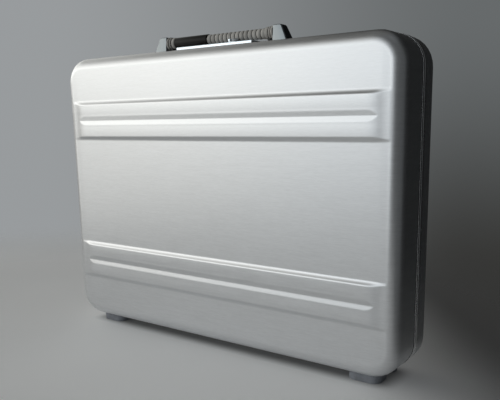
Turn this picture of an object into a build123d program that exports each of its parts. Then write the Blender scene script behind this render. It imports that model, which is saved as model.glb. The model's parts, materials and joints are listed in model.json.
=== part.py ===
"""Slim drawn-aluminium attache case: base half, hinged lid, lifting grip and central dial lock.

Frame: +X along the case, +Y from the base half to the lid, +Z up, in millimetres.
The origin is on the floor, under the middle of the closed case.
"""

import os

from build123d import *

# Case shells
case_width = 457.0
case_height = 326.0
base_depth = 46.3
lid_depth = 30.7
corner_radius = 30.5
edge_radius = 13.2
wall = 1.2

# Pressed ribs: two raised bands on each face, parted into two ribs by a shallow valley
rib_height = 2.5
band_width = 44.4
band_inset = 75.0
band_end_inset = 13.6
band_end_slope = 12.0
band_side_slope = 3.0
band_corner = 5.0
valley_depth = 1.2
valley_width = 13.0

# Mouth frames, with their beads, and the seal between them
bead_width = 4.5
bead_proud = 0.6
bead_round = 0.9
parting_gap = 0.5
shell_gap = 0.7
frame_thickness = 2.2
base_flange_depth = 9.0
lid_flange_depth = 12.0
groove_width = 2.0
groove_depth = 2.4
tongue_width = 1.0
tongue_reach = 1.2
gasket_gap = 0.3

# Linings and the lid's document pocket
lining_thickness = 2.0
pocket_width = 360.0
pocket_height = 210.0
pocket_thickness = 7.0
pocket_lift = 32.0
pocket_corner = 14.0

# Feet
foot_height = 10.0
foot_length = 36.0
base_foot_width = 22.0
lid_foot_width = 12.0
foot_side_inset = 24.5
foot_nose_radius = 10.0
lid_foot_nose_radius = 6.0
foot_heel_radius = 3.0
foot_edge = 0.8
foot_bore_depth = 5.0
foot_rivet_radius = 1.75
foot_rivet_head_radius = 4.0
foot_rivet_head = 2.0

# Hinges
hinge_spacing = 220.0
hinge_length = 60.0
knuckle_radius = 2.9
hinge_pin_radius = 1.5
leaf_thickness = 1.4
leaf_reach = 14.0
leaf_rivet_pitch = 20.0
leaf_rivet_edge = 4.2
leaf_rivet_radius = 1.5
leaf_rivet_head_radius = 2.6
leaf_rivet_head = 1.2
heel_length = 4.6
heel_width = 1.6
stop_tab_gap = 0.5

# Handle posts
handle_setback = 15.9
post_inner = 74.3
post_foot_width = 18.3
post_top_width = 10.4
post_height = 17.1
post_depth = 14.6
post_front_lean = 1.5
post_back_lean = 3.0
post_round = 2.0
post_screw_pitch = 6.0
post_screw_radius = 1.5
post_screw_depth = 8.0
screw_head_radius = 2.7
screw_head = 2.0
backing_thickness = 2.0
backing_inner = 58.0
backing_outer = 96.0
backing_edge = 2.2

# Lifting grip
grip_height = 10.1
grip_travel = 22.0
bow_radius = 3.2
leg_radius = 2.5
leg_shoulder_radius = 4.0
bush_radius = 3.8
bush_flange_radius = 5.2
bush_flange = 1.0
bush_length = 10.0
stop_radius = 4.5
stop_height = 5.0
smooth_radius = 5.6
ribbed_radius = 5.35
sleeve_rib_count = 14
sleeve_groove = 1.2
sleeve_groove_depth = 0.9
collar_radius = 6.3
collar_rim_radius = 7.2
collar_length = 10.8
collar_rim = 2.4
collar_groove = 1.0
collar_groove_depth = 1.3
sleeve_joint = -15.0

# Lock plate, dials and slide
plate_length = 104.4
plate_depth = 24.0
plate_thickness = 3.6
plate_chamfer = 0.5
plate_front = 13.2
plate_screw_inset = 5.2
plate_screw_edge = 4.6
plate_screw_radius = 1.25
plate_screw_bite = 2.4
lock_row = 8.7
dial_radius = 3.4
dial_width = 5.5
dial_pitch = 9.0
dial_count = 3
dial_first = -25.0
dial_proud = 0.3
dial_notch = 0.35
dial_numbers = 10
spindle_radius = 1.2
cheek = 1.6
lock_case_wall = 1.0
lock_case_rim = 2.4
slide_x = 25.0
slide_travel = 8.0
knob_length = 9.0
knob_depth = 4.8
knob_height = 3.4
stem_length = 4.0
stem_depth = 3.0

# Lock bar, bolts and keepers
bar_depth = 8.0
bar_thickness = 3.0
bar_drop = 9.8
bar_guide_clearance = 9.0
bar_guide_length = 10.0
bar_guide_wall = 2.5
arm_thickness = 3.0
bolt_radius = 2.5
bolt_tail_radius = 1.8
bolt_length = 11.0
bolt_setback = 8.5
bolt_rest_gap = 1.0
keeper_inset = 78.5
keeper_web = 2.5
keeper_rim = 5.5
keeper_hole_gap = 0.8
keeper_base = 2.0
keeper_base_width = 18.0
keeper_rivet_pitch = 12.0
keeper_rivet_radius = 1.2
keeper_rivet_head_radius = 2.2
keeper_rivet_head = 1.2

# Inner cover over the handle and the lock
cover_inset = 38.5
cover_wall = 2.0
cover_front_setback = 3.6
cover_room = 2.7

# Clearances
running_clearance = 0.05
slide_clearance = 0.15
fit_clearance = 0.1
free_clearance = 0.3

# Places worked out from the sizes
front_y = -(base_depth + lid_depth) / 2
parting_y = front_y + base_depth
back_y = parting_y + lid_depth
bottom_z = foot_height
top_z = bottom_z + case_height
centre_z = bottom_z + case_height / 2
frame_inset = wall + fit_clearance + frame_thickness
groove_inset = (frame_inset - bead_proud) / 2
lining_inset = wall + fit_clearance
base_mouth_y = parting_y - bead_width - shell_gap
lid_mouth_y = parting_y + bead_width + shell_gap
under_top_z = top_z - wall
hinge_z = bottom_z - bead_proud - free_clearance - knuckle_radius
leaf_top_z = bottom_z - bead_proud
handle_y = parting_y - handle_setback
grip_z = top_z + grip_height
grip_half = post_inner - free_clearance
leg_x = grip_half - collar_length / 2
bush_bottom_z = top_z - bush_length
stop_top_z = bush_bottom_z - grip_travel - free_clearance
stop_bottom_z = stop_top_z - stop_height
cover_floor_z = stop_bottom_z - cover_room
cover_bottom_z = cover_floor_z - cover_wall
plate_top_z = top_z + plate_thickness
plate_front_y = handle_y - plate_front
lock_y = handle_y - lock_row
dial_z = plate_top_z + dial_proud - dial_radius
dial_places = [dial_first + dial_pitch * number for number in range(dial_count)]
spindle_start = dial_places[0] - dial_width / 2 - cheek - fit_clearance
spindle_end = dial_places[-1] + dial_width / 2 + cheek + fit_clearance
bar_top_z = under_top_z - bar_drop + bar_thickness / 2
bar_z = bar_top_z - bar_thickness / 2
bolt_y = parting_y - bolt_setback
band_half_length = case_width / 2 - band_end_inset
foot_x = case_width / 2 - foot_side_inset - foot_length / 2
base_foot_y = front_y + edge_radius + base_foot_width / 2
lid_foot_y = back_y - edge_radius - lid_foot_width / 2
sides = {"left": -1, "right": 1}

os.makedirs("parts", exist_ok=True)


def finish(builder, name):
    """Label a finished piece and write it under its own name."""
    builder.part.label = name
    export_step(builder.part, f"parts/{name}.step")


def across(y):
    """Plane square to Y at the middle of the case, seen from the front; its normal is -Y."""
    return Plane(origin=(0, y, centre_z), x_dir=(1, 0, 0), z_dir=(0, -1, 0))


def case_outline(inset, mode=Mode.ADD):
    """Rounded outline of the case, moved in from the outside of the walls."""
    RectangleRounded(case_width - 2 * inset, case_height - 2 * inset, corner_radius - inset, mode=mode)


def ring(start_y, end_y, outer_inset, inner_inset, mode=Mode.ADD):
    """Ring that follows the case's outline between two depths."""
    with BuildSketch(across(start_y)) as section:
        case_outline(outer_inset)
        case_outline(inner_inset, mode=Mode.SUBTRACT)
    extrude(section.sketch, amount=start_y - end_y, mode=mode)


def block(x_span, y_span, z_span, mode=Mode.ADD):
    """Box between two corners."""
    with BuildSketch(Plane.XY.offset(z_span[0])) as plan:
        with Locations(((x_span[0] + x_span[1]) / 2, (y_span[0] + y_span[1]) / 2)):
            Rectangle(x_span[1] - x_span[0], y_span[1] - y_span[0])
    extrude(plan.sketch, amount=z_span[1] - z_span[0], mode=mode)


def upright(places, radius, z_span, mode=Mode.ADD):
    """Cylinders along Z at the given X and Y places."""
    with BuildSketch(Plane.XY.offset(z_span[0])) as plan:
        with Locations(*places):
            Circle(radius)
    extrude(plan.sketch, amount=z_span[1] - z_span[0], mode=mode)


def lengthwise(x_span, y, z, radius, mode=Mode.ADD):
    """Cylinder along X."""
    with BuildSketch(Plane.YZ.offset(x_span[0])) as section:
        with Locations((y, z)):
            Circle(radius)
    extrude(section.sketch, amount=x_span[1] - x_span[0], mode=mode)


def drawn_tray(builder, face_y, mouth_y, inset, thickness, edge):
    """Deep drawn tray: rounded outline, rounded edge at its closed face, open at its mouth."""
    closed_end, open_end = (0, -1) if face_y < mouth_y else (-1, 0)
    with BuildSketch(across(mouth_y)) as section:
        case_outline(inset)
    extrude(section.sketch, amount=mouth_y - face_y)
    fillet(builder.faces().sort_by(Axis.Y)[closed_end].edges(), edge)
    offset(amount=-thickness, openings=builder.faces().sort_by(Axis.Y)[open_end])


def pressed_ribs(face_y, outward, mode):
    """Two bands on a face: four sloped sides, a flat crest and a valley along its middle."""
    crest_y = face_y + outward * rib_height
    valley_y = crest_y - outward * valley_depth
    valley_top_y = crest_y + outward * valley_depth
    crest_length = 2 * (band_half_length - band_end_slope)
    band_place = case_height / 2 - band_inset
    with BuildPart(mode=Mode.PRIVATE) as bands:
        for place in (-band_place, band_place):
            with BuildSketch(across(face_y)) as band_foot:
                with Locations((0, place)):
                    RectangleRounded(2 * band_half_length, band_width, band_corner)
            with BuildSketch(across(crest_y)) as band_crest:
                with Locations((0, place)):
                    RectangleRounded(crest_length, band_width - 2 * band_side_slope, band_corner)
            loft([band_foot.sketch, band_crest.sketch], ruled=True)
            valley_z = centre_z + place
            with BuildSketch(Plane.YZ.offset(-band_half_length)) as valley:
                with BuildLine():
                    Polyline(
                        (valley_y, valley_z),
                        (valley_top_y, valley_z - valley_width),
                        (valley_top_y, valley_z + valley_width),
                        close=True,
                    )
                make_face()
            extrude(valley.sketch, amount=2 * band_half_length, mode=Mode.SUBTRACT)
    add(bands.part, mode=mode)


def mouth_frame(builder, side, flange_depth):
    """Extruded frame at a shell's mouth: a proud bead, and a flange inside the shell's wall."""
    face_y = parting_y + side * parting_gap / 2
    bead_end_y = parting_y + side * bead_width
    ring(face_y, bead_end_y, -bead_proud, frame_inset)
    rims = [face.outer_wire().edges() for face in builder.faces().filter_by(Axis.Y)]
    fillet(rims[0] + rims[1], bead_round)
    ring(bead_end_y, parting_y + side * flange_depth, wall + fit_clearance, frame_inset)
    return face_y


# Holes in the walls, shared with the pieces that go through them
post_screws_at = [
    (side * (post_inner + post_foot_width / 2), handle_y + step * post_screw_pitch / 2)
    for side in (-1, 1)
    for step in (-1, 1)
]
rear_plate_screw_y = parting_y - base_flange_depth - free_clearance - screw_head_radius
plate_screw_ys = (plate_front_y + plate_screw_edge, rear_plate_screw_y)
plate_screws_at = [
    (side * (plate_length / 2 - plate_screw_inset), y) for side in (-1, 1) for y in plate_screw_ys
]
legs_at = [(side * leg_x, handle_y) for side in (-1, 1)]
leaf_rivet_xs = [
    side * hinge_spacing / 2 + step * leaf_rivet_pitch for side in (-1, 1) for step in (-1, 0, 1)
]
leaf_rivet_reach = leaf_reach - leaf_rivet_edge
base_leaf_rivets_at = [(x, parting_y - leaf_rivet_reach) for x in leaf_rivet_xs]
lid_leaf_rivets_at = [(x, parting_y + leaf_rivet_reach) for x in leaf_rivet_xs]
base_feet_at = [(side * foot_x, base_foot_y) for side in (-1, 1)]
lid_feet_at = [(side * foot_x, lid_foot_y) for side in (-1, 1)]
slot_x = (
    slide_x - stem_length / 2 - free_clearance,
    slide_x + slide_travel + stem_length / 2 + free_clearance,
)
slot_y = (lock_y - stem_depth / 2 - slide_clearance, lock_y + stem_depth / 2 + slide_clearance)
dial_room = dial_radius + free_clearance
dial_window_y = (lock_y - dial_room, lock_y + dial_room)
top_hole = (under_top_z - wall, top_z + wall)
bottom_hole = (bottom_z - wall, bottom_z + 2 * wall)

# Base shell
with BuildPart() as base_shell:
    drawn_tray(base_shell, front_y, base_mouth_y, 0, wall, edge_radius)
    pressed_ribs(front_y, -1, Mode.ADD)
    pressed_ribs(front_y + wall, -1, Mode.SUBTRACT)
    upright(legs_at, bush_radius + fit_clearance, top_hole, Mode.SUBTRACT)
    upright(post_screws_at, post_screw_radius + fit_clearance, top_hole, Mode.SUBTRACT)
    upright(plate_screws_at, plate_screw_radius + fit_clearance, top_hole, Mode.SUBTRACT)
    block(slot_x, slot_y, top_hole, Mode.SUBTRACT)
    block((spindle_start, spindle_end), dial_window_y, top_hole, Mode.SUBTRACT)
    upright(base_leaf_rivets_at, leaf_rivet_radius + fit_clearance, bottom_hole, Mode.SUBTRACT)
    upright(base_feet_at, foot_rivet_radius + fit_clearance, bottom_hole, Mode.SUBTRACT)
finish(base_shell, "base_shell")

# Lid shell
with BuildPart() as lid_shell:
    drawn_tray(lid_shell, back_y, lid_mouth_y, 0, wall, edge_radius)
    pressed_ribs(back_y, 1, Mode.ADD)
    pressed_ribs(back_y - wall, 1, Mode.SUBTRACT)
    upright(lid_leaf_rivets_at, leaf_rivet_radius + fit_clearance, bottom_hole, Mode.SUBTRACT)
    upright(lid_feet_at, foot_rivet_radius + fit_clearance, bottom_hole, Mode.SUBTRACT)
finish(lid_shell, "lid_shell")

# Base frame, with the groove for the gasket
with BuildPart() as base_frame:
    base_face_y = mouth_frame(base_frame, -1, base_flange_depth)
    groove_bottom_y = base_face_y - groove_depth
    groove_insets = (groove_inset - groove_width / 2, groove_inset + groove_width / 2)
    ring(base_face_y, groove_bottom_y, *groove_insets, mode=Mode.SUBTRACT)
finish(base_frame, "base_frame")

# Gasket, at the bottom of the groove
with BuildPart() as gasket:
    ring(
        parting_y - tongue_reach - gasket_gap,
        groove_bottom_y,
        groove_insets[0] + fit_clearance,
        groove_insets[1] - fit_clearance,
    )
finish(gasket, "gasket")

# Lid frame, with the tongue that presses towards the gasket
keeper_place = case_width / 2 - keeper_inset + keeper_web / 2
keepers_at = {side: side * keeper_place for side in (-1, 1)}
keeper_rivet_y = parting_y + (bead_width + lid_flange_depth) / 2
keeper_rivets_at = [
    (x + step * keeper_rivet_pitch / 2, keeper_rivet_y) for x in keepers_at.values() for step in (-1, 1)
]
under_frame_z = top_z - frame_inset
with BuildPart() as lid_frame:
    lid_face_y = mouth_frame(lid_frame, 1, lid_flange_depth)
    tongue_insets = (groove_inset - tongue_width / 2, groove_inset + tongue_width / 2)
    ring(lid_face_y, parting_y - tongue_reach, *tongue_insets)
    flange_hole = (under_frame_z - wall, under_top_z)
    upright(keeper_rivets_at, keeper_rivet_radius + fit_clearance, flange_hole, Mode.SUBTRACT)
finish(lid_frame, "lid_frame")

# Linings; the base lining leaves the top wall free behind the inner cover
lining_edge = edge_radius - lining_inset
cover_half = case_width / 2 - cover_inset
lining_face_y = front_y + lining_inset
lining_inner_y = lining_face_y + lining_thickness
with BuildPart() as base_lining:
    base_lining_mouth_y = parting_y - base_flange_depth - free_clearance
    drawn_tray(
        base_lining, lining_face_y, base_lining_mouth_y, lining_inset, lining_thickness, lining_edge
    )
    block(
        (-cover_half - free_clearance, cover_half + free_clearance),
        (lining_inner_y, parting_y),
        (cover_bottom_z - free_clearance, top_z),
        Mode.SUBTRACT,
    )
finish(base_lining, "base_lining")

with BuildPart() as lid_lining:
    lid_lining_mouth_y = parting_y + lid_flange_depth + free_clearance
    lid_lining_face_y = back_y - lining_inset
    drawn_tray(
        lid_lining, lid_lining_face_y, lid_lining_mouth_y, lining_inset, lining_thickness, lining_edge
    )
finish(lid_lining, "lid_lining")

# Document pocket on the lid lining
pocket_back_y = lid_lining_face_y - lining_thickness
pocket_z = bottom_z + pocket_lift + pocket_height / 2
with BuildPart() as lid_pocket:
    with BuildSketch(across(pocket_back_y)):
        with Locations((0, pocket_z - centre_z)):
            RectangleRounded(pocket_width, pocket_height, pocket_corner)
    extrude(amount=pocket_thickness)
    fillet(lid_pocket.faces().sort_by(Axis.Y)[0].edges(), pocket_thickness / 2)
finish(lid_pocket, "lid_pocket")

# Inner cover: floor, inner wall and two ends, with slots for the keepers
cover_front_y = parting_y - cover_front_setback
cover_back_y = lining_inner_y + free_clearance
cover_top_z = under_frame_z - free_clearance
cover_slope_z = top_z - edge_radius
slope_y = front_y + edge_radius
with BuildPart() as mechanism_cover:
    with BuildSketch(Plane.YZ.offset(-cover_half)):
        with BuildLine():
            Polyline(
                (cover_back_y, cover_bottom_z),
                (cover_front_y, cover_bottom_z),
                (cover_front_y, cover_top_z),
                (slope_y, cover_top_z),
                (cover_back_y, cover_slope_z),
                close=True,
            )
        make_face()
    extrude(amount=2 * cover_half)
    block(
        (-cover_half + cover_wall, cover_half - cover_wall),
        (front_y, cover_front_y - cover_wall),
        (cover_floor_z, top_z),
        Mode.SUBTRACT,
    )
    for keeper_x in keepers_at.values():
        slot_half = keeper_web / 2 + free_clearance * 2
        block(
            (keeper_x - slot_half, keeper_x + slot_half),
            (cover_front_y - cover_wall, cover_front_y),
            (bar_z - keeper_rim - free_clearance * 2, cover_top_z),
            Mode.SUBTRACT,
        )
finish(mechanism_cover, "mechanism_cover")


def foot(place, width, nose_radius, nose_side):
    """Rubber foot: nose corners well rounded, heel corners lightly, with a bore for its rivet."""
    nose_end, heel_end = (0, -1) if nose_side < 0 else (-1, 0)
    with BuildPart() as piece:
        with BuildSketch() as plan:
            with Locations(place):
                Rectangle(foot_length, width)
            fillet(plan.vertices().group_by(Axis.Y)[nose_end], nose_radius)
            fillet(plan.vertices().group_by(Axis.Y)[heel_end], foot_heel_radius)
        extrude(amount=foot_height)
        fillet(piece.faces().sort_by(Axis.Z)[0].edges(), foot_edge)
        bore_radius = foot_rivet_head_radius + free_clearance
        upright([place], bore_radius, (0, foot_bore_depth), Mode.SUBTRACT)
        upright([place], foot_rivet_radius + fit_clearance, (0, foot_height), Mode.SUBTRACT)
    return piece


for name, side in sides.items():
    base_foot = foot((side * foot_x, base_foot_y), base_foot_width, foot_nose_radius, -1)
    finish(base_foot, f"foot_base_{name}")
    lid_foot = foot((side * foot_x, lid_foot_y), lid_foot_width, lid_foot_nose_radius, 1)
    finish(lid_foot, f"foot_lid_{name}")


def rivets(places, seat_z, head_radius, head_height, shank_radius, end_z):
    """Rivets with their heads under seat_z and their shanks hammered flush at end_z."""
    with BuildPart() as group:
        upright(places, head_radius, (seat_z - head_height, seat_z))
        upright(places, shank_radius, (seat_z, end_z))
    return group


foot_rivet_sizes = (foot_bore_depth, foot_rivet_head_radius, foot_rivet_head, foot_rivet_radius)
foot_rivets_base = rivets(base_feet_at, *foot_rivet_sizes, bottom_z + wall)
finish(foot_rivets_base, "foot_rivets_base")
foot_rivets_lid = rivets(lid_feet_at, *foot_rivet_sizes, bottom_z + wall)
finish(foot_rivets_lid, "foot_rivets_lid")

# Hinges: the base leaves carry the outer knuckles, the lid leaves the middle one
leaf_bottom_z = leaf_top_z - leaf_thickness
knuckle_length = hinge_length / 3


def hinge_leaf(middle_x, side, knuckles, rivets_at):
    """Leaf under a bottom wall, packed up to the wall behind the bead, with its knuckles.

    The heel under the lid's knuckle turns with the lid and meets the base leaf's tab when open.
    """
    near_y = parting_y + side * free_clearance
    far_y = parting_y + side * leaf_reach
    pad_y = parting_y + side * (bead_width + shell_gap)
    tab_y = parting_y - knuckle_radius - stop_tab_gap
    heel_y = (parting_y - heel_width / 2, parting_y + heel_width / 2)
    ends = (middle_x - hinge_length / 2, middle_x + hinge_length / 2)
    with BuildPart() as leaf:
        block(ends, sorted((pad_y, far_y)), (leaf_bottom_z, bottom_z))
        for knuckle in (-1, 0, 1):
            start = middle_x + (knuckle - 0.5) * knuckle_length + slide_clearance
            stretch = (start, start + knuckle_length - 2 * slide_clearance)
            if knuckle in knuckles:
                block(stretch, sorted((near_y, pad_y)), (leaf_bottom_z, leaf_top_z))
                lengthwise(stretch, parting_y, hinge_z, knuckle_radius)
            elif side < 0:
                block(stretch, sorted((tab_y, pad_y)), (leaf_bottom_z, leaf_top_z))
            if side > 0 and knuckle in knuckles:
                block(stretch, heel_y, (hinge_z - heel_length, hinge_z))
        bore_radius = hinge_pin_radius + running_clearance
        lengthwise(ends, parting_y, hinge_z, bore_radius, Mode.SUBTRACT)
        rivet_hole = (leaf_bottom_z, bottom_z)
        upright(rivets_at, leaf_rivet_radius + fit_clearance, rivet_hole, Mode.SUBTRACT)
    return leaf


for name, side in sides.items():
    hinge_x = side * hinge_spacing / 2
    base_leaf = hinge_leaf(hinge_x, -1, (-1, 1), base_leaf_rivets_at)
    finish(base_leaf, f"hinge_base_leaf_{name}")
    lid_leaf = hinge_leaf(hinge_x, 1, (0,), lid_leaf_rivets_at)
    finish(lid_leaf, f"hinge_lid_leaf_{name}")
    with BuildPart() as hinge_pin:
        pin_span = (hinge_x - hinge_length / 2, hinge_x + hinge_length / 2)
        lengthwise(pin_span, parting_y, hinge_z, hinge_pin_radius)
    finish(hinge_pin, f"hinge_pin_{name}")

leaf_rivet_sizes = (leaf_bottom_z, leaf_rivet_head_radius, leaf_rivet_head, leaf_rivet_radius)
hinge_rivets_base = rivets(base_leaf_rivets_at, *leaf_rivet_sizes, bottom_z + wall)
finish(hinge_rivets_base, "hinge_rivets_base")
hinge_rivets_lid = rivets(lid_leaf_rivets_at, *leaf_rivet_sizes, bottom_z + wall)
finish(hinge_rivets_lid, "hinge_rivets_lid")

# Handle posts, their backing plates and the bushes for the grip's legs
backing_y = (handle_y - post_depth / 2 + backing_edge, handle_y + post_depth / 2 - backing_edge / 2)
backing_z = (under_top_z - backing_thickness, under_top_z)
post_base = top_z - centre_z
post_front_y = handle_y - post_depth / 2
post_back_y = handle_y + post_depth / 2
for name, side in sides.items():
    inner_x = side * post_inner
    with BuildPart() as handle_post:
        with BuildSketch(across(handle_y + post_depth / 2)):
            with BuildLine():
                Polyline(
                    (inner_x, post_base),
                    (side * (post_inner + post_foot_width), post_base),
                    (side * (post_inner + post_top_width), post_base + post_height),
                    (inner_x, post_base + post_height),
                    close=True,
                )
            make_face()
        extrude(amount=post_depth)
        top_edges = handle_post.edges().filter_by(Axis.Y).group_by(Axis.Z)[-1]
        fillet(top_edges.sort_by(Axis.X)[0 if side < 0 else -1], post_round)
        with BuildSketch(Plane.YZ) as leaning_section:
            with BuildLine():
                Polyline(
                    (post_front_y, top_z),
                    (post_back_y, top_z),
                    (post_back_y - post_back_lean, top_z + post_height),
                    (post_front_y + post_front_lean, top_z + post_height),
                    close=True,
                )
            make_face()
        post_reach = post_inner + post_foot_width
        extrude(leaning_section.sketch, amount=post_reach, both=True, mode=Mode.INTERSECT)
        here = [place for place in post_screws_at if place[0] * side > 0]
        bite = (top_z, top_z + post_screw_depth + free_clearance)
        upright(here, post_screw_radius + running_clearance, bite, Mode.SUBTRACT)
    finish(handle_post, f"handle_post_{name}")

    with BuildPart() as handle_backing:
        block(sorted((side * backing_inner, side * backing_outer)), backing_y, backing_z)
        upright(here, post_screw_radius + fit_clearance, backing_z, Mode.SUBTRACT)
        upright([(side * leg_x, handle_y)], bush_radius + fit_clearance, backing_z, Mode.SUBTRACT)
    finish(handle_backing, f"handle_backing_{name}")

    with BuildPart() as guide_bush:
        leg_at = [(side * leg_x, handle_y)]
        upright(leg_at, bush_flange_radius, (top_z, top_z + bush_flange))
        upright(leg_at, bush_radius, (bush_bottom_z, top_z))
        bush_bore = (bush_bottom_z, top_z + bush_flange)
        upright(leg_at, leg_radius + running_clearance, bush_bore, Mode.SUBTRACT)
    finish(guide_bush, f"guide_bush_{name}")

post_screws = rivets(
    post_screws_at,
    backing_z[0],
    screw_head_radius,
    screw_head,
    post_screw_radius,
    top_z + post_screw_depth,
)
finish(post_screws, "post_screws")

# Lifting grip: a steel bow in two sleeves, with a ringed collar at each end
grip_plane = Plane(origin=(0, handle_y, grip_z), x_dir=(1, 0, 0), z_dir=(0, -1, 0))
grip_axis = Axis((0, handle_y, grip_z), (1, 0, 0))
collar_start = grip_half - collar_length
shoulder_z = (top_z + bush_flange + running_clearance, grip_z)

with BuildPart() as lift_bow:
    lengthwise((-grip_half, grip_half), handle_y, grip_z, bow_radius)
    upright(legs_at, leg_radius, (stop_bottom_z, grip_z))
    upright(legs_at, leg_shoulder_radius, shoulder_z)
finish(lift_bow, "lift_bow")

for name, side in sides.items():
    with BuildPart() as rod_stop:
        stop_at = [(side * leg_x, handle_y)]
        upright(stop_at, stop_radius, (stop_bottom_z, stop_top_z))
        stop_bore = (stop_bottom_z, stop_top_z)
        upright(stop_at, leg_radius + running_clearance, stop_bore, Mode.SUBTRACT)
    finish(rod_stop, f"rod_stop_{name}")

sleeve_bore = bow_radius + running_clearance


def turned(points):
    """Piece turned about the grip's axis from points along X and out from the axis."""
    with BuildSketch(grip_plane) as profile:
        with BuildLine():
            Polyline(*points, close=True)
        make_face()
    revolve(profile.sketch, axis=grip_axis)


with BuildPart() as smooth_sleeve:
    turned(
        [
            (-collar_start, sleeve_bore),
            (-collar_start, smooth_radius),
            (sleeve_joint, smooth_radius),
            (sleeve_joint, sleeve_bore),
        ]
    )
finish(smooth_sleeve, "smooth_sleeve")

ribbed_profile = [(sleeve_joint, sleeve_bore)]
rib_pitch = (collar_start - sleeve_joint) / sleeve_rib_count
for number in range(sleeve_rib_count):
    rib_start = sleeve_joint + number * rib_pitch
    groove_radius = ribbed_radius - sleeve_groove_depth
    ribbed_profile += [
        (rib_start, groove_radius),
        (rib_start + sleeve_groove / 2, groove_radius),
        (rib_start + sleeve_groove, ribbed_radius),
        (rib_start + rib_pitch - sleeve_groove / 2, ribbed_radius),
    ]
ribbed_profile += [(collar_start, groove_radius), (collar_start, sleeve_bore)]
with BuildPart() as ribbed_sleeve:
    turned(ribbed_profile)
finish(ribbed_sleeve, "ribbed_sleeve")

neck_radius = collar_radius - collar_groove_depth
rim_start = grip_half - collar_rim
groove_start = rim_start - collar_groove
for name, side in sides.items():
    with BuildPart() as collar:
        turned(
            [
                (side * collar_start, sleeve_bore),
                (side * collar_start, collar_radius),
                (side * groove_start, collar_radius),
                (side * groove_start, neck_radius),
                (side * rim_start, neck_radius),
                (side * rim_start, collar_rim_radius),
                (side * grip_half, collar_rim_radius),
                (side * grip_half, sleeve_bore),
            ]
        )
        leg_room = leg_shoulder_radius + fit_clearance
        leg_hole = (top_z, grip_z)
        upright([(side * leg_x, handle_y)], leg_room, leg_hole, Mode.SUBTRACT)
    finish(collar, f"collar_{name}")

# Lock plate, with dial windows, a seat for the spindle and a slot for the slide
plate_span = (-plate_length / 2, plate_length / 2)
plate_y = (plate_front_y, plate_front_y + plate_depth)
spindle_seat = spindle_radius + fit_clearance
with BuildPart() as lock_plate:
    block(plate_span, plate_y, (top_z, plate_top_z))
    chamfer(lock_plate.faces().sort_by(Axis.Z)[-1].edges(), plate_chamfer)
    for dial_x in dial_places:
        window_half = dial_width / 2 + free_clearance
        window = (dial_x - window_half, dial_x + window_half)
        block(window, dial_window_y, (top_z, plate_top_z), Mode.SUBTRACT)
    block(
        (spindle_start, spindle_end),
        (lock_y - spindle_seat, lock_y + spindle_seat),
        (top_z, dial_z + spindle_seat),
        Mode.SUBTRACT,
    )
    block(slot_x, slot_y, (top_z, plate_top_z), Mode.SUBTRACT)
    plate_bite = (top_z, top_z + plate_screw_bite + fit_clearance)
    upright(plate_screws_at, plate_screw_radius + running_clearance, plate_bite, Mode.SUBTRACT)
finish(lock_plate, "lock_plate")

plate_screws = rivets(
    plate_screws_at,
    under_top_z,
    screw_head_radius,
    screw_head,
    plate_screw_radius,
    top_z + plate_screw_bite,
)
finish(plate_screws, "plate_screws")

# Lock case under the top wall: a shallow tray, with cheeks that carry the spindle
case_floor_z = dial_z - dial_radius - free_clearance
case_bottom_z = case_floor_z - lock_case_wall
rim_x = (spindle_start - lock_case_rim, spindle_end + lock_case_rim)
rim_y = (dial_window_y[0] - lock_case_rim, dial_window_y[1] + lock_case_rim)
with BuildPart() as lock_case:
    block(rim_x, rim_y, (case_bottom_z, under_top_z))
    block((spindle_start, spindle_end), dial_window_y, (case_floor_z, under_top_z), Mode.SUBTRACT)
    cheek_top_z = dial_z - spindle_radius
    for cheek_x in (spindle_start, spindle_end - cheek):
        cheek_span = (cheek_x + fit_clearance / 2, cheek_x + cheek - fit_clearance / 2)
        cheek_y = (lock_y - spindle_radius, lock_y + spindle_radius)
        block(cheek_span, cheek_y, (case_floor_z, cheek_top_z))
finish(lock_case, "lock_case")

with BuildPart() as dial_spindle:
    spindle_span = (spindle_start + fit_clearance / 2, spindle_end - fit_clearance / 2)
    lengthwise(spindle_span, lock_y, dial_z, spindle_radius)
finish(dial_spindle, "dial_spindle")

for number, dial_x in enumerate(dial_places, start=1):
    with BuildPart() as dial:
        with BuildSketch(Plane.YZ.offset(dial_x - dial_width / 2)):
            with Locations((lock_y, dial_z)):
                Circle(dial_radius)
                Circle(spindle_radius + running_clearance, mode=Mode.SUBTRACT)
                with PolarLocations(dial_radius, dial_numbers, start_angle=180 / dial_numbers):
                    Circle(dial_notch, mode=Mode.SUBTRACT)
        extrude(amount=dial_width)
    finish(dial, f"dial_{number}")

# Thumb slide: a knob on the plate and a stem down to the lock bar
knob_z = (plate_top_z + slide_clearance, plate_top_z + slide_clearance + knob_height)
with BuildPart() as thumb_slide:
    knob_x = (slide_x - knob_length / 2, slide_x + knob_length / 2)
    block(knob_x, (lock_y - knob_depth / 2, lock_y + knob_depth / 2), knob_z)
    fillet(thumb_slide.faces().sort_by(Axis.Z)[-1].edges(), plate_chamfer)
    stem_x = (slide_x - stem_length / 2, slide_x + stem_length / 2)
    block(stem_x, (lock_y - stem_depth / 2, lock_y + stem_depth / 2), (bar_top_z, knob_z[0]))
finish(thumb_slide, "thumb_slide")

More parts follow.
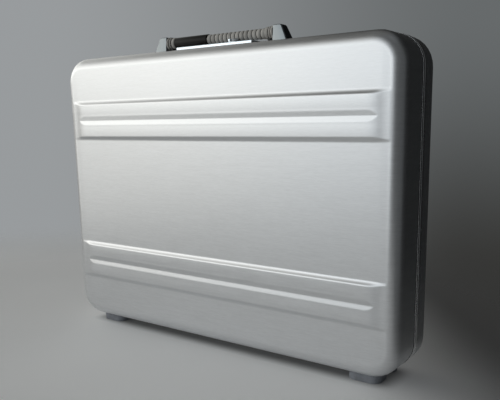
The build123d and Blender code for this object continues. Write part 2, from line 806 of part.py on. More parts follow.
# Lock bar with an arm to each bolt, the bolts, and the guides under the top wall
bolt_tips = {side: x - keeper_web / 2 - bolt_rest_gap for side, x in keepers_at.items()}
arm_faces = {side: tip - bolt_length for side, tip in bolt_tips.items()}
bar_y = (lock_y - bar_depth / 2, lock_y + bar_depth / 2)
arm_y = (lock_y, bolt_y + bolt_radius)
arm_z = (bar_z - bolt_radius - bar_thickness / 2, bar_z + bolt_radius + bar_thickness / 2)
with BuildPart() as lock_bar:
    bar_x = (arm_faces[-1] - arm_thickness, arm_faces[1])
    block(bar_x, bar_y, (bar_top_z - bar_thickness, bar_top_z))
    for face_x in arm_faces.values():
        arm_x = (face_x - arm_thickness, face_x)
        block(arm_x, arm_y, arm_z)
        tail_hole = bolt_tail_radius + running_clearance
        lengthwise(arm_x, bolt_y, bar_z, tail_hole, Mode.SUBTRACT)
finish(lock_bar, "lock_bar")

for name, side in sides.items():
    with BuildPart() as bolt:
        lengthwise((arm_faces[side], bolt_tips[side]), bolt_y, bar_z, bolt_radius)
        lengthwise((arm_faces[side] - arm_thickness, arm_faces[side]), bolt_y, bar_z, bolt_tail_radius)
        chamfer(bolt.faces().sort_by(Axis.X)[-1].edges(), plate_chamfer)
    finish(bolt, f"bolt_{name}")

    guide_x = side * (backing_outer + bar_guide_clearance + bar_guide_length / 2)
    with BuildPart() as bar_guide:
        guide_span = (guide_x - bar_guide_length / 2, guide_x + bar_guide_length / 2)
        reach = slide_clearance + bar_guide_wall
        guide_y = (bar_y[0] - reach, bar_y[1] + reach)
        block(guide_span, guide_y, (bar_top_z - bar_thickness - reach, under_top_z))
        block(
            guide_span,
            (bar_y[0] - slide_clearance, bar_y[1] + slide_clearance),
            (bar_top_z - bar_thickness - slide_clearance, bar_top_z + slide_clearance),
            Mode.SUBTRACT,
        )
    finish(bar_guide, f"bar_guide_{name}")

# Keepers: a base under the lid frame's flange and a web that reaches into the base half
web_end_y = parting_y + lid_flange_depth - free_clearance
keeper_base_y = (parting_y + bead_width, web_end_y)
for name, side in sides.items():
    with BuildPart() as keeper:
        keeper_x = keepers_at[side]
        base_x = (keeper_x - keeper_base_width / 2, keeper_x + keeper_base_width / 2)
        base_z = (under_frame_z - keeper_base, under_frame_z)
        block(base_x, keeper_base_y, base_z)
        web_x = (keeper_x - keeper_web / 2, keeper_x + keeper_web / 2)
        web_y = (bolt_y - keeper_rim, web_end_y)
        block(web_x, web_y, (bar_z - keeper_rim, base_z[0]))
        lengthwise(web_x, bolt_y, bar_z, bolt_radius + keeper_hole_gap, Mode.SUBTRACT)
        here = [place for place in keeper_rivets_at if place[0] * side > 0]
        upright(here, keeper_rivet_radius + fit_clearance, base_z, Mode.SUBTRACT)
    finish(keeper, f"keeper_{name}")

keeper_rivets = rivets(
    keeper_rivets_at,
    under_frame_z - keeper_base,
    keeper_rivet_head_radius,
    keeper_rivet_head,
    keeper_rivet_radius,
    under_top_z - fit_clearance,
)
finish(keeper_rivets, "keeper_rivets")
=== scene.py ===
"""Slim aluminium attache case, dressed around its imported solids.

All places are in metres in the frame of the solids: +X along the case, +Y from the base half to the
lid, +Z up, with the origin on the floor under the middle of the case.
"""

import json
import math

import bpy
import numpy as np
from bpy.props import FloatProperty, FloatVectorProperty, IntProperty, PointerProperty
from mathutils import Matrix, Vector


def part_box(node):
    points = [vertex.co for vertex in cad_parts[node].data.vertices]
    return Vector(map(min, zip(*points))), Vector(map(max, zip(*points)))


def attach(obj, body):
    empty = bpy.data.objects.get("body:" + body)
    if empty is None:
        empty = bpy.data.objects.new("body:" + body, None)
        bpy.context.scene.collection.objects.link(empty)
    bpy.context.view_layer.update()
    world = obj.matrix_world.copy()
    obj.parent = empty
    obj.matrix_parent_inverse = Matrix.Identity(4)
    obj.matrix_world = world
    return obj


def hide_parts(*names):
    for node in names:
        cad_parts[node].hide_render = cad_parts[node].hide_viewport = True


bl_info = {
    "name": "Attache case",
    "version": (1, 0, 0),
    "blender": (4, 5, 0),
    "location": "View3D > Sidebar > Case",
    "description": "Dresses a slim aluminium attache case around its solids",
    "category": "Add Mesh",
}

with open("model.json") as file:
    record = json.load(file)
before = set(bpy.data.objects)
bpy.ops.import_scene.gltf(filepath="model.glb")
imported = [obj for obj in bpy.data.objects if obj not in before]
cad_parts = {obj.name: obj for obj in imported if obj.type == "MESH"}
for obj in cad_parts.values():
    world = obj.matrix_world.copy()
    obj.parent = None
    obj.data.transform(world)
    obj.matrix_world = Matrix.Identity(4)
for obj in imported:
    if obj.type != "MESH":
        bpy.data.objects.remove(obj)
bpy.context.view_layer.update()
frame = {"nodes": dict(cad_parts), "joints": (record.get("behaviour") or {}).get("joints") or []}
SIDES = ("left", "right")


def corners(node):
    """Lowest and highest corner of a solid, as arrays."""
    low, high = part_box(node)
    return np.array(low), np.array(high)


def middle(node):
    """Middle of a solid's box, as an array."""
    low, high = corners(node)
    return (low + high) / 2


# Places that the solids give
base_low, base_high = corners("base_shell")
lid_low, lid_high = corners("lid_shell")
CASE_HALF_X = base_high[0]
CASE_HALF_Z = (base_high[2] - base_low[2]) / 2
CASE_MIDDLE_Z = (base_high[2] + base_low[2]) / 2
PARTING_Y = (corners("base_frame")[1][1] + corners("lid_frame")[0][1]) / 2
GRIP_Y, GRIP_Z = middle("smooth_sleeve")[1:]

# Gaps between pieces, the thumb slide's stem, and steps of the meshes
FIT_GAP = 0.0001
CUT_ROOM = 0.0003
STEM_HALF = 0.002
STEM_ROOM = 0.0005
TURN_STEPS = 64
DRILL_STEPS = 32
SHARP_ANGLE = math.radians(35)


class CaseShellSizes(bpy.types.PropertyGroup):
    """Sizes of the two drawn shells and their pressed ribs."""

    corner_radius: FloatProperty(
        name="Corner radius",
        description="Radius of the case's corners, seen from the front",
        default=0.0305,
        unit="LENGTH",
    )
    edge_radius: FloatProperty(
        name="Edge radius",
        description="Radius between a face and the walls",
        default=0.0132,
        unit="LENGTH",
    )
    wall: FloatProperty(
        name="Wall",
        description="Thickness of the drawn sheet",
        default=0.0012,
        unit="LENGTH",
    )
    rib_height: FloatProperty(
        name="Rib height",
        description="How far a rib stands out of its face",
        default=0.0025,
        unit="LENGTH",
    )
    band_width: FloatProperty(
        name="Band width",
        description="Width of a raised band over its slopes",
        default=0.0444,
        unit="LENGTH",
    )
    band_inset: FloatProperty(
        name="Band inset",
        description="Distance of a band's middle from the nearest edge of the case",
        default=0.075,
        unit="LENGTH",
    )
    band_end_inset: FloatProperty(
        name="Band end inset",
        description="Distance of a band's end from the side of the case",
        default=0.0150,
        unit="LENGTH",
    )
    band_end_slope: FloatProperty(
        name="End slope",
        description="Length of the slope at a band's end",
        default=0.0150,
        unit="LENGTH",
    )
    band_side_slope: FloatProperty(
        name="Side slope",
        description="Width of the slope along a band's side",
        default=0.0032,
        unit="LENGTH",
    )
    valley_depth: FloatProperty(
        name="Valley depth",
        description="Depth of the valley that parts a band into two ribs",
        default=0.00108,
        unit="LENGTH",
    )
    valley_width: FloatProperty(
        name="Valley width",
        description="Width of the valley that parts a band into two ribs",
        default=0.0145,
        unit="LENGTH",
    )
    rib_crown: FloatProperty(
        name="Rib crown",
        description="How much a rib's middle stands above its edges",
        default=0.0001,
        unit="LENGTH",
    )
    foot_bend: FloatProperty(
        name="Foot bend",
        description="Half the length over which the sheet bends from the face into a slope",
        default=0.0021,
        unit="LENGTH",
    )
    crest_bend: FloatProperty(
        name="Crest bend",
        description="Half the length over which the sheet bends from a slope into a crest",
        default=0.0006,
        unit="LENGTH",
    )
    end_bend: FloatProperty(
        name="End bend",
        description="Half the length of the bends at a band's ends",
        default=0.0055,
        unit="LENGTH",
    )
    corner_blend: FloatProperty(
        name="Corner blend",
        description="Share of the rib height over which a band's end slope runs into its side slope",
        subtype="FACTOR",
        default=0.5,
    )
    valley_blend: FloatProperty(
        name="Valley blend",
        description="Share of the valley's depth over which its sides run into the crests",
        subtype="FACTOR",
        default=0.4,
    )
    rib_step: FloatProperty(
        name="Mesh step",
        description="Distance between rows of the mesh across the ribs",
        default=0.00045,
        unit="LENGTH",
    )


class CaseTrimSizes(bpy.types.PropertyGroup):
    """Sizes of the mouth frames, the linings and the pocket."""

    bead_round: FloatProperty(
        name="Bead rounding",
        description="Radius at the two outer rims of a bead",
        default=0.0004,
        unit="LENGTH",
    )
    base_bead: FloatProperty(
        name="Base bead",
        description="Width of the base's bead from the parting line",
        default=0.0034,
        unit="LENGTH",
    )
    lid_bead: FloatProperty(
        name="Lid bead",
        description="Width of the lid's bead from the parting line",
        default=0.0045,
        unit="LENGTH",
    )
    frame_thickness: FloatProperty(
        name="Frame thickness",
        description="Thickness of the flange inside a wall",
        default=0.0022,
        unit="LENGTH",
    )
    groove_width: FloatProperty(
        name="Groove width",
        description="Width of the groove that holds the seal",
        default=0.002,
        unit="LENGTH",
    )
    tongue_width: FloatProperty(
        name="Tongue width",
        description="Width of the tongue that meets the seal",
        default=0.001,
        unit="LENGTH",
    )
    lining_thickness: FloatProperty(
        name="Lining thickness",
        description="Thickness of the cloth covered board",
        default=0.002,
        unit="LENGTH",
    )
    cloth_thickness: FloatProperty(
        name="Pocket cloth",
        description="Thickness of the pocket's cloth",
        default=0.0007,
        unit="LENGTH",
    )
    pocket_folds: IntProperty(
        name="Pocket folds",
        description="Small folds along the pocket's elastic edge",
        default=40,
    )
    fold_depth: FloatProperty(
        name="Fold depth",
        description="Height of the folds at the pocket's elastic edge, on either side of the middle",
        default=0.0009,
        unit="LENGTH",
    )
    pocket_bulge: FloatProperty(
        name="Pocket bulge",
        description="How far the pocket's cloth stands off the lining",
        default=0.0038,
        unit="LENGTH",
    )
    pocket_corner: FloatProperty(
        name="Pocket corners",
        description="Radius of the pocket's lower corners",
        default=0.014,
        unit="LENGTH",
    )
    hem_height: FloatProperty(
        name="Hem height",
        description="Height of the pocket's elastic hem",
        default=0.010,
        unit="LENGTH",
    )
    hem_thickness: FloatProperty(
        name="Hem thickness",
        description="Thickness of the pocket's hem and of its binding",
        default=0.002,
        unit="LENGTH",
    )
    binding_width: FloatProperty(
        name="Binding width",
        description="Width of the tape along the pocket's sewn edges",
        default=0.008,
        unit="LENGTH",
    )


class CaseGripSizes(bpy.types.PropertyGroup):
    """Sizes of the grip, its posts, the thumb slide and the numbers that no solid's box gives."""

    sleeve_ribs: IntProperty(
        name="Sleeve ribs",
        description="Rings on the ribbed sleeve",
        default=14,
    )
    sleeve_groove: FloatProperty(
        name="Sleeve groove",
        description="Depth of the grooves between the rings",
        default=0.0012,
        unit="LENGTH",
    )
    sleeve_swell: FloatProperty(
        name="Sleeve swell",
        description="How much the smooth sleeve is thicker than its solid",
        default=0.0004,
        unit="LENGTH",
    )
    collar_groove: FloatProperty(
        name="Collar groove",
        description="Depth of the grooves between a collar's rings",
        default=0.0015,
        unit="LENGTH",
    )
    collar_step: FloatProperty(
        name="Collar step",
        description="How far a collar's rim stands out from its broad ring",
        default=0.0009,
        unit="LENGTH",
    )
    thumb_lip: FloatProperty(
        name="Thumb lip",
        description="Height of the thumb slide's front lip",
        default=0.0004,
        unit="LENGTH",
    )
    thumb_ridge: FloatProperty(
        name="Thumb ridge",
        description="Width of the ridge at the thumb slide's left end",
        default=0.002,
        unit="LENGTH",
    )
    digit_size: FloatProperty(
        name="Digit size",
        description="Font size of the numbers on the dials",
        default=0.0022,
        unit="LENGTH",
    )
    digit_thickness: FloatProperty(
        name="Digit thickness",
        description="Thickness of the paint of the numbers",
        default=0.0002,
        unit="LENGTH",
    )
    bow_radius: FloatProperty(
        name="Bow radius",
        description="Radius of the steel bar inside the sleeves",
        default=0.00325,
        unit="LENGTH",
    )
    post_top: FloatProperty(
        name="Post top",
        description="Length of a post's flat top",
        default=0.0104,
        unit="LENGTH",
    )
    post_front_lean: FloatProperty(
        name="Front lean",
        description="How far a post's front leans back at its top",
        default=0.0015,
        unit="LENGTH",
    )
    post_back_lean: FloatProperty(
        name="Back lean",
        description="How far a post's back leans forward at its top",
        default=0.003,
        unit="LENGTH",
    )
    post_corner: FloatProperty(
        name="Post corners",
        description="Radius of a post's outer upright edges",
        default=0.0018,
        unit="LENGTH",
    )
    post_round: FloatProperty(
        name="Post rounding",
        description="Radius at the outer end of a post's top",
        default=0.002,
        unit="LENGTH",
    )
    post_rim: FloatProperty(
        name="Post rims",
        description="Radius along the rims of a post's front and back",
        default=0.0006,
        unit="LENGTH",
    )


class CaseColours(bpy.types.PropertyGroup):
    """Colours of the finishes."""

    aluminium: FloatVectorProperty(
        name="Satin aluminium",
        description="Colour of the anodised shells",
        subtype="COLOR",
        default=(0.741, 0.749, 0.761),
    )
    post: FloatVectorProperty(
        name="Grey aluminium",
        description="Colour of the handle's posts",
        subtype="COLOR",
        default=(0.256, 0.278, 0.292),
    )
    bright: FloatVectorProperty(
        name="Bright aluminium",
        description="Colour of the beads",
        subtype="COLOR",
        default=(0.90, 0.905, 0.91),
    )
    plate: FloatVectorProperty(
        name="Lock plate",
        description="Colour of the lock plate and the thumb slide",
        subtype="COLOR",
        default=(0.80, 0.87, 0.94),
    )
    steel: FloatVectorProperty(
        name="Steel",
        description="Colour of the plated steel pieces",
        subtype="COLOR",
        default=(0.56, 0.56, 0.57),
    )
    # The bow's near-black colour is painted shade, standing for the shadow below the collars
    dark_steel: FloatVectorProperty(
        name="Dark steel",
        description="Colour of the blackened bow inside the grip",
        subtype="COLOR",
        default=(0.035, 0.035, 0.036),
    )
    bronze: FloatVectorProperty(
        name="Bronze",
        description="Colour of the bushes",
        subtype="COLOR",
        default=(0.60, 0.43, 0.22),
    )
    foot_rubber: FloatVectorProperty(
        name="Foot rubber",
        description="Colour of the feet",
        subtype="COLOR",
        default=(0.235, 0.248, 0.274),
    )
    grip_rubber: FloatVectorProperty(
        name="Grip rubber",
        description="Colour of the ribbed sleeve and the collars",
        subtype="COLOR",
        default=(0.52, 0.50, 0.47),
    )
    black: FloatVectorProperty(
        name="Black",
        description="Colour of the smooth sleeve, the dials and the seal",
        subtype="COLOR",
        default=(0.012, 0.011, 0.010),
    )
    number: FloatVectorProperty(
        name="Numbers",
        description="Colour of the numbers on the dials",
        subtype="COLOR",
        default=(0.75, 0.75, 0.72),
    )
    cloth: FloatVectorProperty(
        name="Lining cloth",
        description="Colour of the linings and the pocket",
        subtype="COLOR",
        default=(0.060, 0.063, 0.070),
    )


class CaseStage(bpy.types.PropertyGroup):
    """Camera, floor and light."""

    camera_place: FloatVectorProperty(
        name="Camera place",
        description="Where the camera stands",
        subtype="TRANSLATION",
        unit="LENGTH",
        default=(0.45084, -0.54933, 0.25254),
    )
    camera_turn: FloatVectorProperty(
        name="Camera turn",
        description="Yaw to the left, pitch down and roll of the camera",
        subtype="EULER",
        unit="ROTATION",
        default=(math.radians(34.481), math.radians(11.077), math.radians(-0.536)),
    )
    lens: FloatProperty(
        name="Lens",
        description="Focal length for a 36 mm sensor",
        default=44.49,
        unit="CAMERA",
    )
    shift: FloatVectorProperty(
        name="Shift",
        description="Lens shift that frames the picture",
        size=2,
        default=(-0.0641, 0.0940),
    )
    floor: FloatVectorProperty(
        name="Floor",
        description="Colour of the floor",
        subtype="COLOR",
        default=(0.94, 0.95, 0.955),
    )
    floor_middle: FloatVectorProperty(
        name="Floor middle",
        description="Place around which the floor is seen",
        subtype="TRANSLATION",
        unit="LENGTH",
        default=(-0.20, -0.25, 0.0),
    )
    floor_fade: FloatVectorProperty(
        name="Floor fade",
        description="Distances at which the floor starts and ends to fade into the backdrop",
        size=2,
        unit="LENGTH",
        default=(0.50, 1.05),
    )
    # Painted shade to the right and a painted shadow under the case, both multiplied into the floor's
    # colour
    floor_shade: FloatVectorProperty(
        name="Floor shade",
        description="Distances to the right between which the floor gets darker",
        size=2,
        unit="LENGTH",
        default=(0.13, 0.40),
    )
    floor_dim: FloatProperty(
        name="Floor dim",
        description="Share of the floor's brightness that is left at the right",
        subtype="FACTOR",
        default=0.12,
    )
    floor_shadow: FloatProperty(
        name="Floor shadow",
        description="Share of the floor's brightness that is lost under the case",
        subtype="FACTOR",
        default=0.75,
    )
    floor_glow: FloatProperty(
        name="Floor glow",
        description="Light that the floor gives off, standing for light from above the picture",
        default=0.08,
    )
    window_strength: FloatProperty(
        name="Window strength",
        description="Brightness of the large soft light at the left",
        default=2.2,
    )
    window_turn: FloatVectorProperty(
        name="Window from and to",
        description="Left and right end of the soft light, counted from the front to the right",
        size=2,
        unit="ROTATION",
        default=(math.radians(-127), math.radians(-1)),
    )
    window_turn_blur: FloatVectorProperty(
        name="Window side blur",
        description="Half the width of the light's soft left and right ends",
        size=2,
        unit="ROTATION",
        default=(math.radians(23), math.radians(29)),
    )
    window_rise: FloatVectorProperty(
        name="Window sill and head",
        description="Lower and upper end of the soft light above the horizon",
        size=2,
        unit="ROTATION",
        default=(math.radians(2.2), math.radians(28)),
    )
    window_rise_blur: FloatVectorProperty(
        name="Window sill and head blur",
        description="Half the width of the light's soft lower and upper ends",
        size=2,
        unit="ROTATION",
        default=(math.radians(2.5), math.radians(34)),
    )
    sill_turn: FloatVectorProperty(
        name="Raised sill",
        description="Where the light's lower end gets higher towards the left",
        size=2,
        unit="ROTATION",
        default=(math.radians(-62), math.radians(-48)),
    )
    sill_raise: FloatProperty(
        name="Sill raise",
        description="How much higher the light's lower end is at the left",
        unit="ROTATION",
        default=math.radians(4),
    )
    table_strength: FloatVectorProperty(
        name="Table strength",
        description="Brightness of the lit room below the light, far down and at the horizon",
        size=2,
        default=(0.74, 0.82),
    )
    table_depth: FloatProperty(
        name="Table depth",
        description="Angle below the horizon at which the lit room is at its dimmest",
        unit="ROTATION",
        default=math.radians(30),
    )
    table_turn: FloatVectorProperty(
        name="Table end",
        description="Where the lit room below the light gets dim towards the left",
        size=2,
        unit="ROTATION",
        default=(math.radians(-74), math.radians(-56)),
    )
    table_dim: FloatProperty(
        name="Table end strength",
        description="Share of the lit room's brightness at its left end",
        subtype="FACTOR",
        default=0.35,
    )
    ceiling_rise: FloatVectorProperty(
        name="Ceiling",
        description="Height above the horizon between which the dim ceiling starts",
        size=2,
        unit="ROTATION",
        default=(math.radians(52), math.radians(70)),
    )
    ceiling_strength: FloatProperty(
        name="Ceiling strength",
        description="Brightness of the ceiling",
        default=0.10,
    )
    fill_turn: FloatVectorProperty(
        name="Fill light",
        description="Left end, start and end of the right end of a dim light at the right",
        size=3,
        unit="ROTATION",
        default=(math.radians(0), math.radians(88), math.radians(108)),
    )
    fill_strength: FloatProperty(
        name="Fill strength",
        description="Brightness of the dim light at the right",
        default=0.075,
    )
    cool_turn: FloatVectorProperty(
        name="Warm to cool",
        description="Where the light changes from warm at the left to cool at the right",
        size=2,
        unit="ROTATION",
        default=(math.radians(-40), math.radians(-32)),
    )
    warm_light: FloatVectorProperty(
        name="Warm light",
        description="Colour of the light's left part",
        subtype="COLOR",
        default=(1.0, 0.995, 0.945),
    )
    cool_light: FloatVectorProperty(
        name="Cool light",
        description="Colour of the light's right part",
        subtype="COLOR",
        default=(0.80, 0.845, 0.87),
    )
    ambient: FloatProperty(
        name="Ambient",
        description="Brightness of the dim room around the light",
        default=0.012,
    )
    # The backdrop's colours are painted light and shade: lighter at the left, darker at the right,
    # darkest low at the right
    backdrop_left: FloatVectorProperty(
        name="Backdrop left",
        description="Colour of the backdrop at the left",
        subtype="COLOR",
        default=(0.315, 0.330, 0.340),
    )
    backdrop_high: FloatVectorProperty(
        name="Backdrop right",
        description="Colour of the upper backdrop at the right",
        subtype="COLOR",
        default=(0.135, 0.145, 0.148),
    )
    backdrop_low: FloatVectorProperty(
        name="Backdrop shade",
        description="Colour of the lower backdrop at the right",
        subtype="COLOR",
        default=(0.036, 0.036, 0.034),
    )
    backdrop_darkens: FloatVectorProperty(
        name="Backdrop darkens",
        description="Where the backdrop darkens towards the right, counted from the back to the right",
        size=2,
        unit="ROTATION",
        default=(math.radians(-56), math.radians(-17)),
    )
    backdrop_lightens: FloatVectorProperty(
        name="Backdrop lightens",
        description="Where the backdrop gets lighter again, counted from the back to the right",
        size=2,
        unit="ROTATION",
        default=(math.radians(20), math.radians(80)),
    )
    backdrop_rise: FloatVectorProperty(
        name="Backdrop rise",
        description="Height above the horizon between which the backdrop's shade ends",
        size=2,
        unit="ROTATION",
        default=(math.radians(-14), math.radians(10)),
    )


# Shading nodes


def add_node(tree, kind, inputs=None, **settings):
    """New node with its settings, and with a value or a link for each named input."""
    made = tree.nodes.new(kind)
    for name, value in settings.items():
        setattr(made, name, value)
    for name, value in (inputs or {}).items():
        if isinstance(value, bpy.types.NodeSocket):
            tree.links.new(value, made.inputs[name])
        else:
            made.inputs[name].default_value = value
    return made


def math_node(tree, operation, first, second=0.0, third=0.0):
    """Output of a Math node."""
    made = add_node(tree, "ShaderNodeMath", {0: first, 1: second, 2: third}, operation=operation)
    return made.outputs[0]


def ramp_node(tree, value, start, end, low=0.0, high=1.0):
    """Output of a Map Range node with a smooth step between two values."""
    inputs = {"Value": value, "From Min": start, "From Max": end, "To Min": low, "To Max": high}
    made = add_node(tree, "ShaderNodeMapRange", inputs, interpolation_type="SMOOTHSTEP")
    return made.outputs["Result"]


def new_group(name, inputs, outputs):
    """Empty shader group with float or vector inputs and float outputs, and its two end nodes."""
    tree = bpy.data.node_groups.new(name, "ShaderNodeTree")
    for label, kind in inputs.items():
        tree.interface.new_socket(label, in_out="INPUT", socket_type=kind)
    for label in outputs:
        tree.interface.new_socket(label, in_out="OUTPUT", socket_type="NodeSocketFloat")
    start = tree.nodes.new("NodeGroupInput")
    end = tree.nodes.new("NodeGroupOutput")
    return tree, start, end


def noise(tree, vector, scale, detail=2.0, roughness=0.5):
    """Value of a noise texture."""
    inputs = {"Vector": vector, "Scale": scale, "Detail": detail, "Roughness": roughness}
    return add_node(tree, "ShaderNodeTexNoise", inputs).outputs[0]


def brushed_group():
    """Brushed grain: noise drawn out by Stretch along X and Y, in two sizes, and soft clouds."""
    inputs = {
        "Vector": "NodeSocketVector",
        "Fineness": "NodeSocketFloat",
        "Stretch": "NodeSocketFloat",
        "Clouds": "NodeSocketFloat",
    }
    tree, start, end = new_group("brushed_grain", inputs, ("Grain", "Clouds"))
    flat = math_node(tree, "DIVIDE", 1.0, start.outputs["Stretch"])
    stretch = add_node(tree, "ShaderNodeCombineXYZ", {"X": flat, "Y": flat, "Z": 1.0})
    drawn = add_node(
        tree,
        "ShaderNodeVectorMath",
        {0: start.outputs["Vector"], 1: stretch.outputs[0]},
        operation="MULTIPLY",
    ).outputs[0]
    fine = noise(tree, drawn, start.outputs["Fineness"], 3.0, 0.6)
    coarse_scale = math_node(tree, "MULTIPLY", start.outputs["Fineness"], 0.23)
    coarse = noise(tree, drawn, coarse_scale, 2.0, 0.5)
    both = math_node(tree, "MULTIPLY_ADD", coarse, 0.35, math_node(tree, "MULTIPLY", fine, 0.65))
    tree.links.new(both, end.inputs["Grain"])
    clouds = noise(tree, start.outputs["Vector"], start.outputs["Clouds"], 4.0, 0.55)
    tree.links.new(clouds, end.inputs["Clouds"])
    return tree


def moulded_group():
    """Moulded surface: fine pebbles from noise, and soft clouds for dust and handling."""
    inputs = {
        "Vector": "NodeSocketVector",
        "Pebbles": "NodeSocketFloat",
        "Clouds": "NodeSocketFloat",
    }
    tree, start, end = new_group("moulded_surface", inputs, ("Pebbles", "Clouds"))
    fine = noise(tree, start.outputs["Vector"], start.outputs["Pebbles"], 2.0, 0.5)
    tree.links.new(fine, end.inputs["Pebbles"])
    clouds = noise(tree, start.outputs["Vector"], start.outputs["Clouds"], 4.0, 0.6)
    tree.links.new(clouds, end.inputs["Clouds"])
    return tree


def weave_group():
    """Plain weave: crossing sine threads along X + Y and Z + Y, one over the other by turns."""
    inputs = {"Vector": "NodeSocketVector", "Pitch": "NodeSocketFloat"}
    tree, start, end = new_group("plain_weave", inputs, ("Height", "Cross"))
    parts = add_node(tree, "ShaderNodeSeparateXYZ", {0: start.outputs["Vector"]}).outputs
    turns = math_node(tree, "DIVIDE", math.pi, start.outputs["Pitch"])
    across = math_node(tree, "MULTIPLY", math_node(tree, "ADD", parts[0], parts[1]), turns)
    along = math_node(tree, "MULTIPLY", math_node(tree, "ADD", parts[2], parts[1]), turns)
    warp = math_node(tree, "SINE", across)
    weft = math_node(tree, "SINE", along)
    cross = math_node(tree, "MULTIPLY", warp, weft)
    over = math_node(tree, "GREATER_THAN", cross, 0.0)
    warp_height = math_node(tree, "ABSOLUTE", warp)
    weft_height = math_node(tree, "ABSOLUTE", weft)
    mixed = add_node(tree, "ShaderNodeMix", {0: over, 2: warp_height, 3: weft_height}, data_type="FLOAT")
    tree.links.new(mixed.outputs[0], end.inputs["Height"])
    tree.links.new(over, end.inputs["Cross"])
    return tree


GROUPS = {
    "brushed_grain": brushed_group,
    "moulded_surface": moulded_group,
    "plain_weave": weave_group,
}


def place_group(tree, name, inputs):
    """Outputs of a shared group, which is built the first time that it is asked for."""
    group = bpy.data.node_groups.get(name) or GROUPS[name]()
    coordinates = add_node(tree, "ShaderNodeTexCoord").outputs["Object"]
    made = add_node(tree, "ShaderNodeGroup", node_tree=group)
    tree.links.new(coordinates, made.inputs["Vector"])
    for label, value in inputs.items():
        made.inputs[label].default_value = value
    return made.outputs


def tinted(tree, colour, mask, low, high):
    """Colour times a factor that runs from low to high with a mask."""
    factor = ramp_node(tree, mask, 0.25, 0.75, low, high)
    scaled = add_node(
        tree,
        "ShaderNodeVectorMath",
        {0: tuple(colour), "Scale": factor},
        operation="SCALE",
    )
    return scaled.outputs[0]


def bumped(tree, height, depth, strength=1.0):
    """Normal of a surface raised by a height mask of 0 to 1 times depth in metres."""
    inputs = {"Strength": strength, "Distance": depth, "Height": height}
    return add_node(tree, "ShaderNodeBump", inputs).outputs[0]


def new_material(name):
    """Material of a finish, with its nodes and Principled shader where it still has to be filled.

    The name ends in _finish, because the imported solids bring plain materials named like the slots.
    """
    found = bpy.data.materials.get(f"{name}_finish")
    if found:
        return found, None, None
    made = bpy.data.materials.new(f"{name}_finish")
    made.use_nodes = True
    return made, made.node_tree, made.node_tree.nodes["Principled BSDF"]


def finish_shader(tree, shader, links, values):
    """Links and plain values of a Principled shader's sockets."""
    for label, value in links.items():
        tree.links.new(value, shader.inputs[label])
    for label, value in values.items():
        shader.inputs[label].default_value = value


def shaded(tree, colour):
    """Colour that gets dark where a mesh's shade attribute is 1."""
    shade = add_node(tree, "ShaderNodeAttribute", attribute_name="shade").outputs["Fac"]
    kept = ramp_node(tree, shade, 0.0, 0.9, 1.0, 0.004)
    made = add_node(tree, "ShaderNodeVectorMath", {0: colour, "Scale": kept}, operation="SCALE")
    return made.outputs[0]


def metal(name, colour, roughness, fineness, stretch, grain_depth, spread=0.05, metallic=1.0):
    """Brushed or satin metal: grain moves the colour, roughness and normal a little."""
    made, tree, shader = new_material(name)
    if tree:
        inputs = {"Fineness": fineness, "Stretch": stretch, "Clouds": 9.0}
        masks = place_group(tree, "brushed_grain", inputs)
        rough = ramp_node(tree, masks["Grain"], 0.3, 0.7, roughness - spread, roughness + spread)
        cloudy = math_node(tree, "MULTIPLY_ADD", masks["Clouds"], spread, rough)
        links = {
            "Base Color": shaded(tree, tinted(tree, colour, masks["Grain"], 0.94, 1.05)),
            "Roughness": cloudy,
            "Normal": bumped(tree, masks["Grain"], grain_depth),
        }
        finish_shader(tree, shader, links, {"Metallic": metallic})
    return made


def moulded(name, colour, roughness, pebbles, depth, specular=0.5, coat=0.0):
    """Rubber or plastic: pebbled skin with clouds of dust and handling."""
    made, tree, shader = new_material(name)
    if tree:
        masks = place_group(tree, "moulded_surface", {"Pebbles": pebbles, "Clouds": 60.0})
        links = {
            "Base Color": shaded(tree, tinted(tree, colour, masks["Clouds"], 0.8, 1.25)),
            "Roughness": ramp_node(tree, masks["Clouds"], 0.2, 0.8, roughness - 0.06, roughness + 0.08),
            "Normal": bumped(tree, masks["Pebbles"], depth),
        }
        values = {"Specular IOR Level": specular, "Coat Weight": coat, "Coat Roughness": 0.15}
        finish_shader(tree, shader, links, values)
    return made


def cloth(name, colour, pitch, depth, tone=1.0):
    """Woven cloth: threads in two tones, with a bump from the weave and a sheen."""
    made, tree, shader = new_material(name)
    if tree:
        masks = place_group(tree, "plain_weave", {"Pitch": pitch})
        links = {
            "Base Color": tinted(tree, [tone * part for part in colour], masks["Height"], 0.55, 1.3),
            "Normal": bumped(tree, masks["Height"], depth),
        }
        values = {"Roughness": 0.9, "Sheen Weight": 0.25, "Sheen Roughness": 0.4}
        finish_shader(tree, shader, links, values)
    return made


